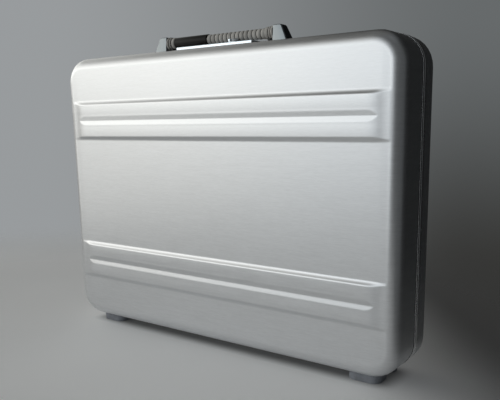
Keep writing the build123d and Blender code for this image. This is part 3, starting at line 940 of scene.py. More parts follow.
# Each finish: its kind of shader, the colour that the user chooses for it, and its values
FINISHES = {
    "satin_aluminium": (
        metal,
        "aluminium",
        {
            "roughness": 0.335,
            "fineness": 1500.0,
            "stretch": 12.0,
            "grain_depth": 0.000002,
            "spread": 0.03,
            "metallic": 0.88,
        },
    ),
    "post_aluminium": (
        metal,
        "post",
        {"roughness": 0.3, "fineness": 1500.0, "stretch": 4.0, "grain_depth": 0.000004},
    ),
    "bead_aluminium": (
        metal,
        "bright",
        {"roughness": 0.26, "fineness": 60.0, "stretch": 1.0, "grain_depth": 0.0000002, "spread": 0.02},
    ),
    "plate_aluminium": (
        metal,
        "plate",
        {"roughness": 0.3, "fineness": 1800.0, "stretch": 30.0, "grain_depth": 0.000006},
    ),
    "plated_steel": (
        metal,
        "steel",
        {"roughness": 0.33, "fineness": 1200.0, "stretch": 3.0, "grain_depth": 0.000005},
    ),
    "dark_steel": (
        metal,
        "dark_steel",
        {"roughness": 0.4, "fineness": 1200.0, "stretch": 3.0, "grain_depth": 0.000005},
    ),
    "bearing_bronze": (
        metal,
        "bronze",
        {"roughness": 0.36, "fineness": 1500.0, "stretch": 2.0, "grain_depth": 0.000005},
    ),
    "foot_rubber": (moulded, "foot_rubber", {"roughness": 0.75, "pebbles": 1800.0, "depth": 0.00005}),
    "grip_rubber": (moulded, "grip_rubber", {"roughness": 0.8, "pebbles": 2600.0, "depth": 0.00003}),
    "smooth_black": (
        moulded,
        "black",
        {"roughness": 0.42, "pebbles": 1400.0, "depth": 0.00002, "specular": 0.18},
    ),
    "seal_rubber": (
        moulded,
        "black",
        {"roughness": 0.75, "pebbles": 3200.0, "depth": 0.00004, "specular": 0.3},
    ),
    "cover_plastic": (moulded, "cloth", {"roughness": 0.55, "pebbles": 1500.0, "depth": 0.00006}),
    "number_paint": (moulded, "number", {"roughness": 0.5, "pebbles": 3000.0, "depth": 0.00001}),
    "lining_cloth": (cloth, "cloth", {"pitch": 0.0009, "depth": 0.00012}),
    "pocket_cloth": (cloth, "cloth", {"pitch": 0.0006, "depth": 0.0001, "tone": 0.8}),
}


def finish(name):
    """Material of a finish, which is built the first time that it is asked for."""
    kind, colour, values = FINISHES[name]
    return kind(name, getattr(bpy.context.scene.case_colours, colour), **values)


# Mesh building


def grid_faces(index, wrap_rows=False, wrap_columns=False):
    """Quads between neighbouring rows and columns of a grid of point numbers."""
    if wrap_rows:
        index = np.vstack([index, index[:1]])
    if wrap_columns:
        index = np.hstack([index, index[:, :1]])
    quads = [index[:-1, :-1], index[:-1, 1:], index[1:, 1:], index[1:, :-1]]
    return np.stack(quads, axis=-1).reshape(-1, 4)


def border(index):
    """Numbers along the border of a grid, in order."""
    return np.concatenate([index[0, :-1], index[:-1, -1], index[-1, :0:-1], index[:0:-1, 0]])


def outward_step(points, quads, caps):
    """1 where a closed surface's signed volume is positive, and -1 where its faces are to be reversed."""
    corner = points[quads]
    first = np.cross(corner[:, 1], corner[:, 2])
    second = np.cross(corner[:, 2], corner[:, 3])
    volume = np.sum(corner[:, 0] * (first + second))
    for cap in caps:
        fan = points[cap]
        volume += np.sum(fan[0] * np.cross(fan[1:-1], fan[2:]))
    return 1 if volume > 0 else -1


def add_piece(name, shells, material, body, replaced=(), shade=None):
    """Object at the origin, riding on a body, made of closed shells of points, quads and caps."""
    points, faces = [], []
    count = 0
    for shell_points, quads, caps in shells:
        flat_points = shell_points.reshape(-1, 3)
        step = outward_step(flat_points, quads, caps)
        faces += (count + quads[:, ::step]).tolist()
        faces += [(count + cap[::step]).tolist() for cap in caps]
        points.append(flat_points)
        count += len(flat_points)
    mesh = bpy.data.meshes.new(name)
    mesh.from_pydata(np.concatenate(points).tolist(), [], faces)
    mesh.update()
    mesh.shade_smooth()
    mesh.set_sharp_from_angle(angle=SHARP_ANGLE)
    mesh.materials.append(material)
    if shade is not None:
        values = mesh.attributes.new("shade", "FLOAT", "POINT").data
        values.foreach_set("value", np.ravel(shade).astype(np.float32))
    made = bpy.data.objects.new(name, mesh)
    bpy.context.scene.collection.objects.link(made)
    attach(made, body)
    if replaced:
        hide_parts(*replaced)
    return made


def dress(material, *nodes, rim=0.0):
    """Gives solids their finish and, with a rim, rounds their hard edges by that much."""
    for node in nodes:
        solid = frame["nodes"][node]
        solid.data.materials.clear()
        solid.data.materials.append(material)
        if rim:
            weld = solid.modifiers.new("weld", "WELD")
            weld.merge_threshold = 0.00001
            bevel = solid.modifiers.new("rim", "BEVEL")
            bevel.width = rim
            bevel.segments = 2
            bevel.limit_method = "ANGLE"
            bevel.angle_limit = math.radians(40)
            bevel.harden_normals = True


def filleted(points, radii, steps):
    """Closed outline with an arc of the given radius at each corner.

    The arc's middle lies on the corner's bisector, at radius / sin(half the corner's angle).
    """
    points = np.array(points, float)
    pieces = []
    for number, radius in enumerate(radii):
        corner = points[number]
        before = points[number - 1] - corner
        after = points[(number + 1) % len(points)] - corner
        before /= np.linalg.norm(before)
        after /= np.linalg.norm(after)
        if radius == 0:
            pieces.append(corner[None])
            continue
        half = math.acos(np.clip(before @ after, -1, 1)) / 2
        bisector = (before + after) / np.linalg.norm(before + after)
        centre = corner + bisector * radius / math.sin(half)
        start = corner + before * radius / math.tan(half) - centre
        end = corner + after * radius / math.tan(half) - centre
        sweep = math.atan2(start[0] * end[1] - start[1] * end[0], start @ end)
        turn = np.linspace(0, sweep, steps + 1)
        side = np.array([-start[1], start[0]])
        pieces.append(centre + np.outer(np.cos(turn), start) + np.outer(np.sin(turn), side))
    return np.concatenate(pieces)


def outline_normals(outline):
    """Outward normals of a closed counterclockwise outline, halfway between neighbouring edges."""
    edge = np.roll(outline, -1, axis=0) - outline
    edge /= np.linalg.norm(edge, axis=1)[:, None]
    mean = edge + np.roll(edge, 1, axis=0)
    mean /= np.linalg.norm(mean, axis=1)[:, None]
    return np.stack([mean[:, 1], -mean[:, 0]], axis=1)


def rounded_prism(outline, low, high, rim, steps=4):
    """Prism with rounded rims: at angle a the outline is moved in by rim * (1 - sin a), and its
    height is rim * (1 - cos a) from the end. Gives plan places and heights as a grid."""
    turn = np.linspace(0, math.pi / 2, steps + 1)
    inset = rim * (1 - np.sin(turn))
    rise = rim * (1 - np.cos(turn))
    insets = np.concatenate([inset, inset[::-1]])
    heights = np.concatenate([low + rise, high - rise[::-1]])
    plan = outline[None] - insets[:, None, None] * outline_normals(outline)[None]
    return plan, np.broadcast_to(heights[:, None], plan.shape[:2])


def capped(points):
    """Closed shell of a grid of rings: points, quads and the two end caps."""
    index = np.arange(points.shape[0] * points.shape[1]).reshape(points.shape[:2])
    return points, grid_faces(index, wrap_columns=True), [index[0, ::-1], index[-1]]


def case_path(arc_steps=14):
    """Points and outward normals of the case's rounded outline in X and Z."""
    radius = bpy.context.scene.case_shell.corner_radius
    turn = np.linspace(0, math.pi / 2, arc_steps + 1)
    normals = []
    centres = []
    for quarter, (x_side, z_side) in enumerate(((1, 1), (-1, 1), (-1, -1), (1, -1))):
        angle = turn + quarter * math.pi / 2
        normals.append(np.stack([np.cos(angle), np.sin(angle)], axis=1))
        centre = (x_side * (CASE_HALF_X - radius), CASE_MIDDLE_Z + z_side * (CASE_HALF_Z - radius))
        centres.append(np.tile(centre, (arc_steps + 1, 1)))
    normals = np.concatenate(normals)
    return np.concatenate(centres) + radius * normals, normals


def carried(profile, path, normals):
    """Closed profile of insets and depths carried along a closed path: each point of the path moves
    in along its normal by the inset."""
    plan = path[:, None] - profile[None, :, :1] * normals[:, None]
    depth = np.broadcast_to(profile[None, :, 1], plan.shape[:2])
    points = np.stack([plan[..., 0], depth, plan[..., 1]], axis=-1)
    index = np.arange(depth.size).reshape(depth.shape)
    return points, grid_faces(index, wrap_rows=True, wrap_columns=True), []


def turned(profile):
    """Closed profile of places along X and radii, turned about the grip's axis."""
    turn = np.linspace(0, 2 * math.pi, TURN_STEPS, endpoint=False)[:, None]
    radius = profile[None, :, 1]
    across = GRIP_Y + radius * np.sin(turn)
    up = GRIP_Z + radius * np.cos(turn)
    points = np.stack([np.broadcast_to(profile[None, :, 0], up.shape), across, up], axis=-1)
    index = np.arange(up.size).reshape(up.shape)
    return points, grid_faces(index, wrap_rows=True, wrap_columns=True), []


def cut_away(piece, boxes, drills):
    """Takes boxes, and upright drills of a radius, out of a piece."""
    points, faces = [], []
    square = np.array([(-1, -1), (1, -1), (1, 1), (-1, 1)])
    turn = np.linspace(0, 2 * math.pi, DRILL_STEPS, endpoint=False)
    circle = np.column_stack([np.cos(turn), np.sin(turn)])
    shapes = [((low + high) / 2, (high - low) / 2, square) for low, high in boxes]
    for low, high, radius in drills:
        half = np.array([radius, radius, (high[2] - low[2]) / 2])
        shapes.append(((low + high) / 2, half, circle))
    for centre, half, plan in shapes:
        start = sum(len(part) for part in points)
        count = len(plan)
        for end in (-1, 1):
            ring = np.column_stack([plan * half[:2], np.full(count, end * half[2])])
            points.append(ring + centre)
        ring = start + np.arange(count)
        index = np.stack([ring, ring + count])
        faces += grid_faces(index, wrap_columns=True).tolist()
        faces += [ring[::-1].tolist(), (ring + count).tolist()]
    mesh = bpy.data.meshes.new("cutter")
    mesh.from_pydata(np.concatenate(points).tolist(), [], faces)
    cutter = bpy.data.objects.new("cutter", mesh)
    bpy.context.scene.collection.objects.link(cutter)
    difference = piece.modifiers.new("cut", "BOOLEAN")
    difference.operation = "DIFFERENCE"
    difference.solver = "EXACT"
    difference.object = cutter
    bpy.context.view_layer.update()
    evaluated = piece.evaluated_get(bpy.context.evaluated_depsgraph_get())
    whole = piece.data
    piece.data = bpy.data.meshes.new_from_object(evaluated)
    piece.data.name = whole.name
    piece.modifiers.clear()
    bpy.data.objects.remove(cutter)
    bpy.data.meshes.remove(mesh)
    bpy.data.meshes.remove(whole)
    piece.data.shade_smooth()
    piece.data.set_sharp_from_angle(angle=SHARP_ANGLE)


# The case


def bent_ramp(distance, width, foot_bend, crest_bend):
    """Ramp from 0 to 1 over a width: its slope grows over 2 * foot_bend and fades over 2 * crest_bend."""

    def risen(place, bend):
        in_bend = (np.clip(place, -bend, bend) + bend) ** 2 / (4 * bend)
        return in_bend + np.maximum(place - bend, 0)

    return (risen(distance, foot_bend) - risen(distance - width, crest_bend)) / width


def soft_minimum(first, second, blend):
    """Lesser of two heights, with a parabola where they differ by less than blend."""
    near = np.maximum(blend - np.abs(first - second), 0)
    return np.minimum(first, second) - near**2 / (4 * blend)


def rib_height(x, z, sizes):
    """Height of the pressed ribs at places on a face.

    A band's height is the lesser of its end ramp along X and its side ramp along Z. A valley with
    straight sides parts it into two ribs, whose crests are crowned by a parabola.
    """
    half_length = CASE_HALF_X - sizes.band_end_inset
    from_middle = np.abs(np.abs(z) - (CASE_HALF_Z - sizes.band_inset))
    end = bent_ramp(half_length - np.abs(x), sizes.band_end_slope, sizes.end_bend, sizes.end_bend)
    from_side = sizes.band_width / 2 - from_middle
    side = bent_ramp(from_side, sizes.band_side_slope, sizes.foot_bend, sizes.crest_bend)
    band = sizes.rib_height * soft_minimum(end, side, sizes.corner_blend)
    half_valley = sizes.valley_width / 2
    rounded_middle = np.sqrt(from_middle**2 + (sizes.crest_bend / 2) ** 2)
    valley = soft_minimum(rounded_middle / half_valley, np.ones_like(z), sizes.valley_blend) - 1
    crest = sizes.band_width / 2 - sizes.band_side_slope - half_valley
    share = np.clip((from_middle - half_valley) / crest, 0, 1)
    crown = 4 * sizes.rib_crown * share * (1 - share)
    limit = sizes.rib_height + sizes.valley_depth * valley + crown
    return soft_minimum(band + crown * end, limit, sizes.rib_crown)


def face_rows(sizes, flat, corner, ribbed):
    """Heights of the rows of a face's grid: close together on the ribs and in the corners."""
    turn = np.linspace(0, math.pi / 2, 9)
    arcs = flat - corner + corner * np.sin(turn)
    if not ribbed:
        return np.unique(np.concatenate([-arcs, arcs]))
    band = CASE_HALF_Z - sizes.band_inset
    reach = sizes.band_width / 2 + 2 * sizes.foot_bend
    ribs = np.arange(band - reach, band + reach, sizes.rib_step)
    plain = np.linspace(0, band - reach, 6, endpoint=False)
    upper = np.concatenate([plain, ribs, arcs])
    return np.unique(np.round(np.concatenate([-upper, upper]), 7))


def face_columns(sizes, flat, ribbed):
    """Places of the columns of a face's grid, as shares of its half width."""
    if not ribbed:
        return np.linspace(-1, 1, 9)
    ramp_start = CASE_HALF_X - sizes.band_end_inset - sizes.band_end_slope - 4 * sizes.end_bend
    ends = np.arange(ramp_start, flat, 1.5 * sizes.rib_step)
    plain = np.linspace(0, ramp_start, 8, endpoint=False)
    right = np.concatenate([plain, ends, [flat]]) / flat
    return np.unique(np.round(np.concatenate([-right, right]), 7))


def drawn_tray(sizes, face_y, mouth_y, inset, thickness, ribbed):
    """Points and quads of a drawn tray with an outer and an inner skin.

    The face is a grid with x = share * w(z), where w follows the rounded corners. From the face's
    rim, rings at angle a of the rounded edge move out by r sin a and back by r (1 - cos a), and then
    run along the wall to the mouth. The inner skin is the same with a smaller r.
    """
    flat_x = CASE_HALF_X - sizes.edge_radius
    flat_z = CASE_HALF_Z - sizes.edge_radius
    corner = sizes.corner_radius - sizes.edge_radius
    rows = face_rows(sizes, flat_z, corner, ribbed)
    columns = face_columns(sizes, flat_x, ribbed)
    into_corner = np.clip(np.abs(rows) - (flat_z - corner), 0, corner)
    half = flat_x - corner + np.sqrt(corner**2 - into_corner**2)
    x = half[:, None] * columns[None]
    z = np.broadcast_to(rows[:, None], x.shape)
    ribs = rib_height(x, z, sizes) if ribbed else np.zeros(x.shape)
    index = np.arange(x.size).reshape(x.shape)
    loop = border(index)
    lean = np.sign(rows) * into_corner / corner
    out_x = np.zeros(x.shape)
    out_z = np.zeros(x.shape)
    out_z[0], out_z[-1] = -1, 1
    out_x[:, -1] = np.sqrt(1 - lean**2)
    out_x[:, 0] = -out_x[:, -1]
    out_z[:, 0] = out_z[:, -1] = lean
    rim = np.stack([x.ravel()[loop], z.ravel()[loop]], axis=1)
    normal = np.stack([out_x.ravel()[loop], out_z.ravel()[loop]], axis=1)
    inwards = math.copysign(1, mouth_y - face_y)
    turn = np.linspace(0, math.pi / 2, 13)[1:]
    skins = []
    rings = []
    for depth in (inset, inset + thickness):
        radius = sizes.edge_radius - depth
        skin_y = face_y + inwards * (depth - ribs)
        skins.append(np.stack([x, skin_y, z + CASE_MIDDLE_Z], axis=-1).reshape(-1, 3))
        out = np.append(radius * np.sin(turn), radius)
        back = np.append(face_y + inwards * (depth + radius * (1 - np.cos(turn))), mouth_y)
        plan = rim[None] + out[:, None, None] * normal[None]
        back = np.broadcast_to(back[:, None], plan.shape[:2])
        rings.append(np.stack([plan[..., 0], back, plan[..., 1] + CASE_MIDDLE_Z], axis=-1))
    strip = np.concatenate([rings[0], rings[1][::-1]])
    points = np.concatenate([skins[0], strip.reshape(-1, 3), skins[1]])
    strip_index = x.size + np.arange(strip.shape[0] * len(loop)).reshape(-1, len(loop))
    inner_start = x.size + strip_index.size
    strip_index = np.vstack([loop, strip_index, inner_start + loop])
    inner_index = inner_start + index
    quads = [
        grid_faces(index),
        grid_faces(strip_index, wrap_columns=True)[:, ::-1],
        grid_faces(inner_index)[:, ::-1],
    ]
    return points, np.concatenate(quads), []


def grown(node, room):
    """Box of a solid, made larger by room on every side."""
    low, high = corners(node)
    return low - room, high + room


class CASE_OT_shells(bpy.types.Operator):
    """Draws the base and lid shells with their ribs, and cuts the base's openings"""

    bl_idname = "case.shells"
    bl_label = "Shells"

    def execute(self, context):
        sizes = context.scene.case_shell
        material = finish("satin_aluminium")
        front_y = base_low[1] + sizes.rib_height
        back_y = lid_high[1] - sizes.rib_height
        base = drawn_tray(sizes, front_y, base_high[1], 0.0, sizes.wall, True)
        base_piece = add_piece(
            "drawn_base_shell", [base], material, "base", ["base_shell"]
        )
        lid = drawn_tray(sizes, back_y, lid_low[1], 0.0, sizes.wall, True)
        add_piece("drawn_lid_shell", [lid], material, "lid", ["lid_shell"])
        stem_low, stem_high = grown("thumb_slide", CUT_ROOM)
        slide = next(joint for joint in frame["joints"] if joint["child"] == "lock")
        stem_middle = (stem_low[0] + stem_high[0]) / 2
        stem_low[0] = stem_middle - STEM_HALF - STEM_ROOM
        stem_high[0] = stem_middle + STEM_HALF + STEM_ROOM + slide["range_m"][1]
        window_low, window_high = grown("dial_spindle", CUT_ROOM)
        dial_low, dial_high = grown("dial_1", CUT_ROOM)
        window_low[1:], window_high[1:] = dial_low[1:], dial_high[1:]
        drills = []
        for side in SIDES:
            low, high = grown(f"guide_bush_{side}", CUT_ROOM)
            drills.append((low, high, (high[0] - low[0]) / 2))
        cut_away(base_piece, [(stem_low, stem_high), (window_low, window_high)], drills)
        return {"FINISHED"}


def frame_profile(sizes, shell, side, flange_y, bead_width, features):
    """Inset and depth of a mouth frame's section, and its shade.

    The section has a bead, a flange, and a groove or a tongue. The shade is dark in the gap between
    the bead and the shell.
    """
    face = abs(corners("base_frame")[1][1] - PARTING_Y)
    near = shell.wall + FIT_GAP
    inner = near + sizes.frame_thickness
    outer = CASE_HALF_X - corners("base_frame")[1][0]
    flange = abs(flange_y - PARTING_Y)
    half, reach = features
    channel = (inner + outer) / 2
    section = [
        (outer, face),
        (channel - half, face),
        (channel - half, reach),
        (channel + half, reach),
        (channel + half, face),
        (inner, face),
        (inner, flange),
        (near, flange),
        (near, bead_width),
        (outer, bead_width),
    ]
    profile = filleted(section, [sizes.bead_round] + [0] * 8 + [sizes.bead_round], 6)
    slack = FIT_GAP / 10
    in_gap = (profile[:, 1] > bead_width - slack) & (profile[:, 0] < near + slack)
    shade = np.where(in_gap, np.clip((profile[:, 0] - outer) / sizes.bead_round, 0, 1), 0)
    profile[:, 1] = PARTING_Y + side * profile[:, 1]
    return profile, shade


class CASE_OT_mouth_frames(bpy.types.Operator):
    """Carries the two mouth frames and the seal along the case's outline"""

    bl_idname = "case.mouth_frames"
    bl_label = "Mouth frames"

    def execute(self, context):
        sizes = context.scene.case_trim
        shell = context.scene.case_shell
        path = case_path()
        groove = (sizes.groove_width / 2, PARTING_Y - corners("gasket")[0][1])
        tongue = (sizes.tongue_width / 2, corners("lid_frame")[0][1] - PARTING_Y)
        halves = (
            ("base", -1, corners("base_frame")[0][1], sizes.base_bead, groove),
            ("lid", 1, corners("lid_frame")[1][1], sizes.lid_bead, tongue),
        )
        for half, side, flange_y, bead_width, features in halves:
            profile, shade = frame_profile(sizes, shell, side, flange_y, bead_width, features)
            add_piece(
                f"{half}_mouth_frame",
                [carried(profile, *path)],
                finish("bead_aluminium"),
                half,
                [f"{half}_frame"],
                shade=np.tile(shade, (len(path[0]), 1)),
            )
        low, high = corners("gasket")
        outer = CASE_HALF_X - high[0]
        inner = outer + sizes.groove_width - 2 * FIT_GAP
        rounding = 0.45 * (high[1] - low[1])
        section = [(outer, low[1]), (inner, low[1]), (inner, high[1]), (outer, high[1])]
        seal = filleted(section, [rounding] * 4, 5)
        add_piece(
            "rubber_seal",
            [carried(seal, *path)],
            finish("seal_rubber"),
            "base",
            ["gasket"],
        )
        return {"FINISHED"}


class CASE_OT_linings(bpy.types.Operator):
    """Covers the inside of both halves with cloth covered boards"""

    bl_idname = "case.linings"
    bl_label = "Linings"

    def execute(self, context):
        sizes = context.scene.case_trim
        shell = context.scene.case_shell
        material = finish("lining_cloth")
        front_y = base_low[1] + shell.rib_height
        back_y = lid_high[1] - shell.rib_height
        inset = corners("base_lining")[0][1] - front_y
        mouths = {"base": corners("base_lining")[1][1], "lid": corners("lid_lining")[0][1]}
        for half, face_y in (("base", front_y), ("lid", back_y)):
            board = drawn_tray(shell, face_y, mouths[half], inset, sizes.lining_thickness, False)
            made = add_piece(
                f"{half}_cloth_lining",
                [board],
                material,
                half,
                [f"{half}_lining"],
            )
            if half == "base":
                low, high = grown("mechanism_cover", CUT_ROOM)
                high[1] = PARTING_Y
                high[2] = base_high[2]
                cut_away(made, [(low, high)], [])
        return {"FINISHED"}


def gathered_surface(sizes, low, high):
    """Middle surface of the gathered pocket as a grid, with u across it and v up it.

    It is sewn down at both sides and below. At distances s and f from the side and foot seams it
    stands off the lining by bulge * (1 - exp(-s / side_rise)) * (1 - exp(-f / foot_rise)). Uneven
    folds, sines of u with a shifting phase, grow towards the elastic edge as v to the power of 3 to 9.
    """
    side_rise, foot_rise = 0.022, 0.03
    height = high[2] - low[2]
    corner = sizes.pocket_corner
    turn = np.linspace(0, math.pi / 2, 8)
    rise = np.append(corner * (1 - np.cos(turn)), np.linspace(corner, height, 22)[1:])[:, None]
    across = np.linspace(-1, 1, sizes.pocket_folds * 8 + 1)[None]
    into_corner = np.clip(corner - rise, 0, corner)
    half = (high[0] - low[0]) / 2 - corner + np.sqrt(corner**2 - into_corner**2)
    from_side = half * (1 - np.abs(across))
    free = (1 - np.exp(-from_side / side_rise)) * (1 - np.exp(-rise / foot_rise))
    up = rise / height
    shift = 1.7 * np.sin(5 * across) + np.sin(17 * across + 1)
    power = 6 + 3 * np.sin(11 * across + 2)
    folds = sizes.fold_depth * up**power * np.sin(math.pi * sizes.pocket_folds * across + shift)
    stand = sizes.cloth_thickness + free * (sizes.pocket_bulge * (0.6 + 0.4 * up) + folds)
    return np.stack(np.broadcast_arrays(half * across, high[1] - stand, low[2] + rise), axis=-1)


def thick_sheet(surface, thickness):
    """Closed shell around a surface: two skins, apart by the thickness along Y, and their rim."""
    shift = np.array([0, thickness / 2, 0])
    count = surface[..., 0].size
    index = np.arange(count).reshape(surface.shape[:2])
    rim = np.vstack([border(index), border(index) + count])
    quads = [
        grid_faces(index),
        grid_faces(rim, wrap_columns=True)[:, ::-1],
        grid_faces(index + count)[:, ::-1],
    ]
    points = np.concatenate([(surface - shift).reshape(-1, 3), (surface + shift).reshape(-1, 3)])
    return points, np.concatenate(quads), []


def elastic_hem(sizes, edge):
    """Rounded strip folded over the pocket's upper edge, following its folds."""
    half, above = sizes.hem_thickness / 2, 0.0007
    lower_round, upper_round = half * 0.7, half * 0.9
    outline = [(-half, -sizes.hem_height), (half, -sizes.hem_height), (half, above), (-half, above)]
    section = filleted(outline, [lower_round, lower_round, upper_round, upper_round], 4)
    shift = np.column_stack([np.zeros(len(section)), section])
    return capped(edge[:, None] + shift[None])


def sewn_binding(sizes, low, high):
    """Flat tape along the pocket's sides and foot, laid over its sewn edge."""
    corner = sizes.pocket_corner
    overhang, rim = 0.0015, 0.0007
    turn = np.linspace(math.pi, 2 * math.pi, 19)
    normals = np.stack([np.cos(turn), np.sin(turn)], axis=1)
    at_left = np.arange(len(turn)) < len(turn) // 2
    centre_x = np.where(at_left, low[0] + corner, high[0] - corner)
    arcs = np.column_stack([centre_x, np.full(len(turn), low[2] + corner)]) + corner * normals
    path = np.vstack([[low[0], high[2]], arcs, [high[0], high[2]]])
    normals = np.vstack([[-1, 0], normals, [1, 0]])
    back, front = high[1] - FIT_GAP, high[1] - sizes.hem_thickness
    inner, outer = sizes.binding_width - overhang, -overhang
    section = [(outer, back), (inner, back), (inner, front), (outer, front)]
    section = filleted(section, [0, 0, rim, rim], 4)
    plan = path[:, None] - section[None, :, :1] * normals[:, None]
    depth = np.broadcast_to(section[None, :, 1], plan.shape[:2])
    return capped(np.stack([plan[..., 0], depth, plan[..., 1]], axis=-1))


class CASE_OT_pocket(bpy.types.Operator):
    """Sews the gathered document pocket, its elastic hem and its binding to the lid's lining"""

    bl_idname = "case.pocket"
    bl_label = "Document pocket"

    def execute(self, context):
        sizes = context.scene.case_trim
        material = finish("pocket_cloth")
        low, high = corners("lid_pocket")
        surface = gathered_surface(sizes, low, high)
        shell = thick_sheet(surface, sizes.cloth_thickness)
        panel = add_piece("pocket_panel", [shell], material, "lid", ["lid_pocket"])
        hem = elastic_hem(sizes, surface[-1])
        hem = add_piece("pocket_hem", [hem], material, "lid")
        tape = sewn_binding(sizes, low, high)
        tape = add_piece("pocket_binding", [tape], material, "lid")
        return {"FINISHED"}


class CASE_OT_cover(bpy.types.Operator):
    """Finishes the inner cover over the lock and the grip's legs"""

    bl_idname = "case.cover"
    bl_label = "Inner cover"

    def execute(self, context):
        dress(finish("cover_plastic"), "mechanism_cover", rim=0.0006)
        return {"FINISHED"}


class CASE_OT_feet(bpy.types.Operator):
    """Finishes the rubber feet and their rivets"""

    bl_idname = "case.feet"
    bl_label = "Feet"

    def execute(self, context):
        feet = [f"foot_{half}_{side}" for half in ("base", "lid") for side in SIDES]
        dress(finish("foot_rubber"), *feet, rim=0.0012)
        dress(finish("plated_steel"), "foot_rivets_base", "foot_rivets_lid")
        return {"FINISHED"}


class CASE_OT_hinges(bpy.types.Operator):
    """Finishes the hinge leaves, their pins and rivets"""

    bl_idname = "case.hinges"
    bl_label = "Hinges"

    def execute(self, context):
        steel = finish("plated_steel")
        for side in SIDES:
            leaves = (f"hinge_base_leaf_{side}", f"hinge_lid_leaf_{side}")
            dress(steel, *leaves, f"hinge_pin_{side}")
        dress(steel, "hinge_rivets_base", "hinge_rivets_lid")
        return {"FINISHED"}


def leaning_post(sizes, low, high, mirrored):
    """Post of stacked rounded rectangles: its outer end, front and back lean inwards with height, and
    its top rim and the outer end of its top are rounded by quarter circles."""
    turn = np.linspace(0, math.pi / 2, 7)
    straight = np.linspace(low[2], high[2] - sizes.post_round, 5)
    curved = high[2] - sizes.post_round * (1 - np.sin(turn[1:]))
    rings = []
    for height in np.concatenate([straight, curved]):
        share = (height - low[2]) / (high[2] - low[2])
        into_round = max(height - (high[2] - sizes.post_round), 0)
        rounding = sizes.post_round - math.sqrt(sizes.post_round**2 - into_round**2)
        into_rim = max(height - (high[2] - sizes.post_rim), 0)
        rim = sizes.post_rim - math.sqrt(max(sizes.post_rim**2 - into_rim**2, 0))
        foot = high[0] - low[0]
        outer = low[0] + foot - share * (foot - sizes.post_top) - rounding
        front = low[1] + share * sizes.post_front_lean + rim
        back = high[1] - share * sizes.post_back_lean - rim
        inner = low[0] + rim
        outline = [(inner, front), (outer, front), (outer, back), (inner, back)]
        radii = [sizes.post_rim, sizes.post_corner, sizes.post_corner, sizes.post_rim]
        plan = filleted(outline, radii, 6)
        if mirrored:
            plan[:, 0] = low[0] + high[0] - plan[:, 0]
        rings.append(np.column_stack([plan, np.full(len(plan), height)]))
    return capped(np.array(rings))


class CASE_OT_posts(bpy.types.Operator):
    """Shapes the handle's two posts and finishes what holds them"""

    bl_idname = "case.posts"
    bl_label = "Handle posts"

    def execute(self, context):
        sizes = context.scene.case_grip
        for side in SIDES:
            add_piece(
                f"shaped_post_{side}",
                [leaning_post(sizes, *corners(f"handle_post_{side}"), side == "left")],
                finish("post_aluminium"),
                "base",
                [f"handle_post_{side}"],
            )
            dress(finish("plated_steel"), f"handle_backing_{side}")
            dress(finish("bearing_bronze"), f"guide_bush_{side}")
        dress(finish("plated_steel"), "post_screws")
        return {"FINISHED"}


def collar_profile(sizes, low, high, mirrored):
    """Places along X and radii of a collar: a broad ring, a narrow one and a rim, parted by grooves."""
    length = high[0] - low[0]
    rim = (high[2] - low[2]) / 2
    ring = rim - sizes.collar_step
    valley = ring - sizes.collar_groove
    edges = np.array([0.0, 0.41, 0.50, 0.67, 0.76, 1.0]) * length
    section = [
        (0, sizes.bow_radius),
        (0, ring),
        (edges[1], ring),
        (edges[1], valley),
        (edges[2], valley),
        (edges[2], ring + sizes.collar_step / 2),
        (edges[3], ring + sizes.collar_step / 2),
        (edges[3], valley),
        (edges[4], valley),
        (edges[4], rim),
        (edges[5], rim),
        (edges[5], sizes.bow_radius),
    ]
    broad, narrow, lit = 0.0013, 0.0007, 0.0004
    radii = [0, broad, broad, 0, 0, narrow, narrow, 0, 0, narrow, narrow, 0]
    profile = filleted(section, radii, 5)
    shade = np.clip((ring - lit - profile[:, 1]) / sizes.collar_groove, 0, 1)
    profile[:, 0] = high[0] - profile[:, 0] if mirrored else low[0] + profile[:, 0]
    return profile, shade


class CASE_OT_grip(bpy.types.Operator):
    """Turns the grip's sleeves and collars and finishes its bow"""

    bl_idname = "case.grip"
    bl_label = "Grip"

    def execute(self, context):
        sizes = context.scene.case_grip
        low, high = corners("smooth_sleeve")
        radius = (high[2] - low[2]) / 2 + sizes.sleeve_swell
        bore, rim = sizes.bow_radius, 0.0008
        section = [(low[0], bore), (high[0], bore), (high[0], radius), (low[0], radius)]
        sleeve = filleted(section, [0, 0, rim, rim], 5)
        add_piece(
            "turned_smooth_sleeve",
            [turned(sleeve)],
            finish("smooth_black"),
            "grip",
            ["smooth_sleeve"],
        )
        low, high = corners("ribbed_sleeve")
        radius = (high[2] - low[2]) / 2
        along = np.linspace(0, 1, sizes.sleeve_ribs * 16 + 1)
        # Full, close rings: a sine raised to a low power is broad at its crests and narrow between
        ring = np.abs(np.sin(math.pi * sizes.sleeve_ribs * along)) ** 0.45
        places = high[0] + along * (low[0] - high[0])
        outer = np.stack([places, radius - sizes.sleeve_groove * (1 - ring)], axis=1)
        profile = np.concatenate([[(low[0], bore), (high[0], bore)], outer])
        shade = np.concatenate([[0, 0], np.clip(1.25 - 1.7 * ring, 0, 1)])
        add_piece(
            "turned_ribbed_sleeve",
            [turned(profile)],
            finish("grip_rubber"),
            "grip",
            ["ribbed_sleeve"],
            shade=np.tile(shade, (TURN_STEPS, 1)),
        )
        for side in SIDES:
            profile, shade = collar_profile(sizes, *corners(f"collar_{side}"), side == "left")
            add_piece(
                f"turned_collar_{side}",
                [turned(profile)],
                finish("grip_rubber"),
                "grip",
                [f"collar_{side}"],
                shade=np.tile(shade, (TURN_STEPS, 1)),
            )
            dress(finish("plated_steel"), f"rod_stop_{side}")
        # The bow is coloured near black: painted shade for the shadow below the collars
        dress(finish("dark_steel"), "lift_bow")
        return {"FINISHED"}


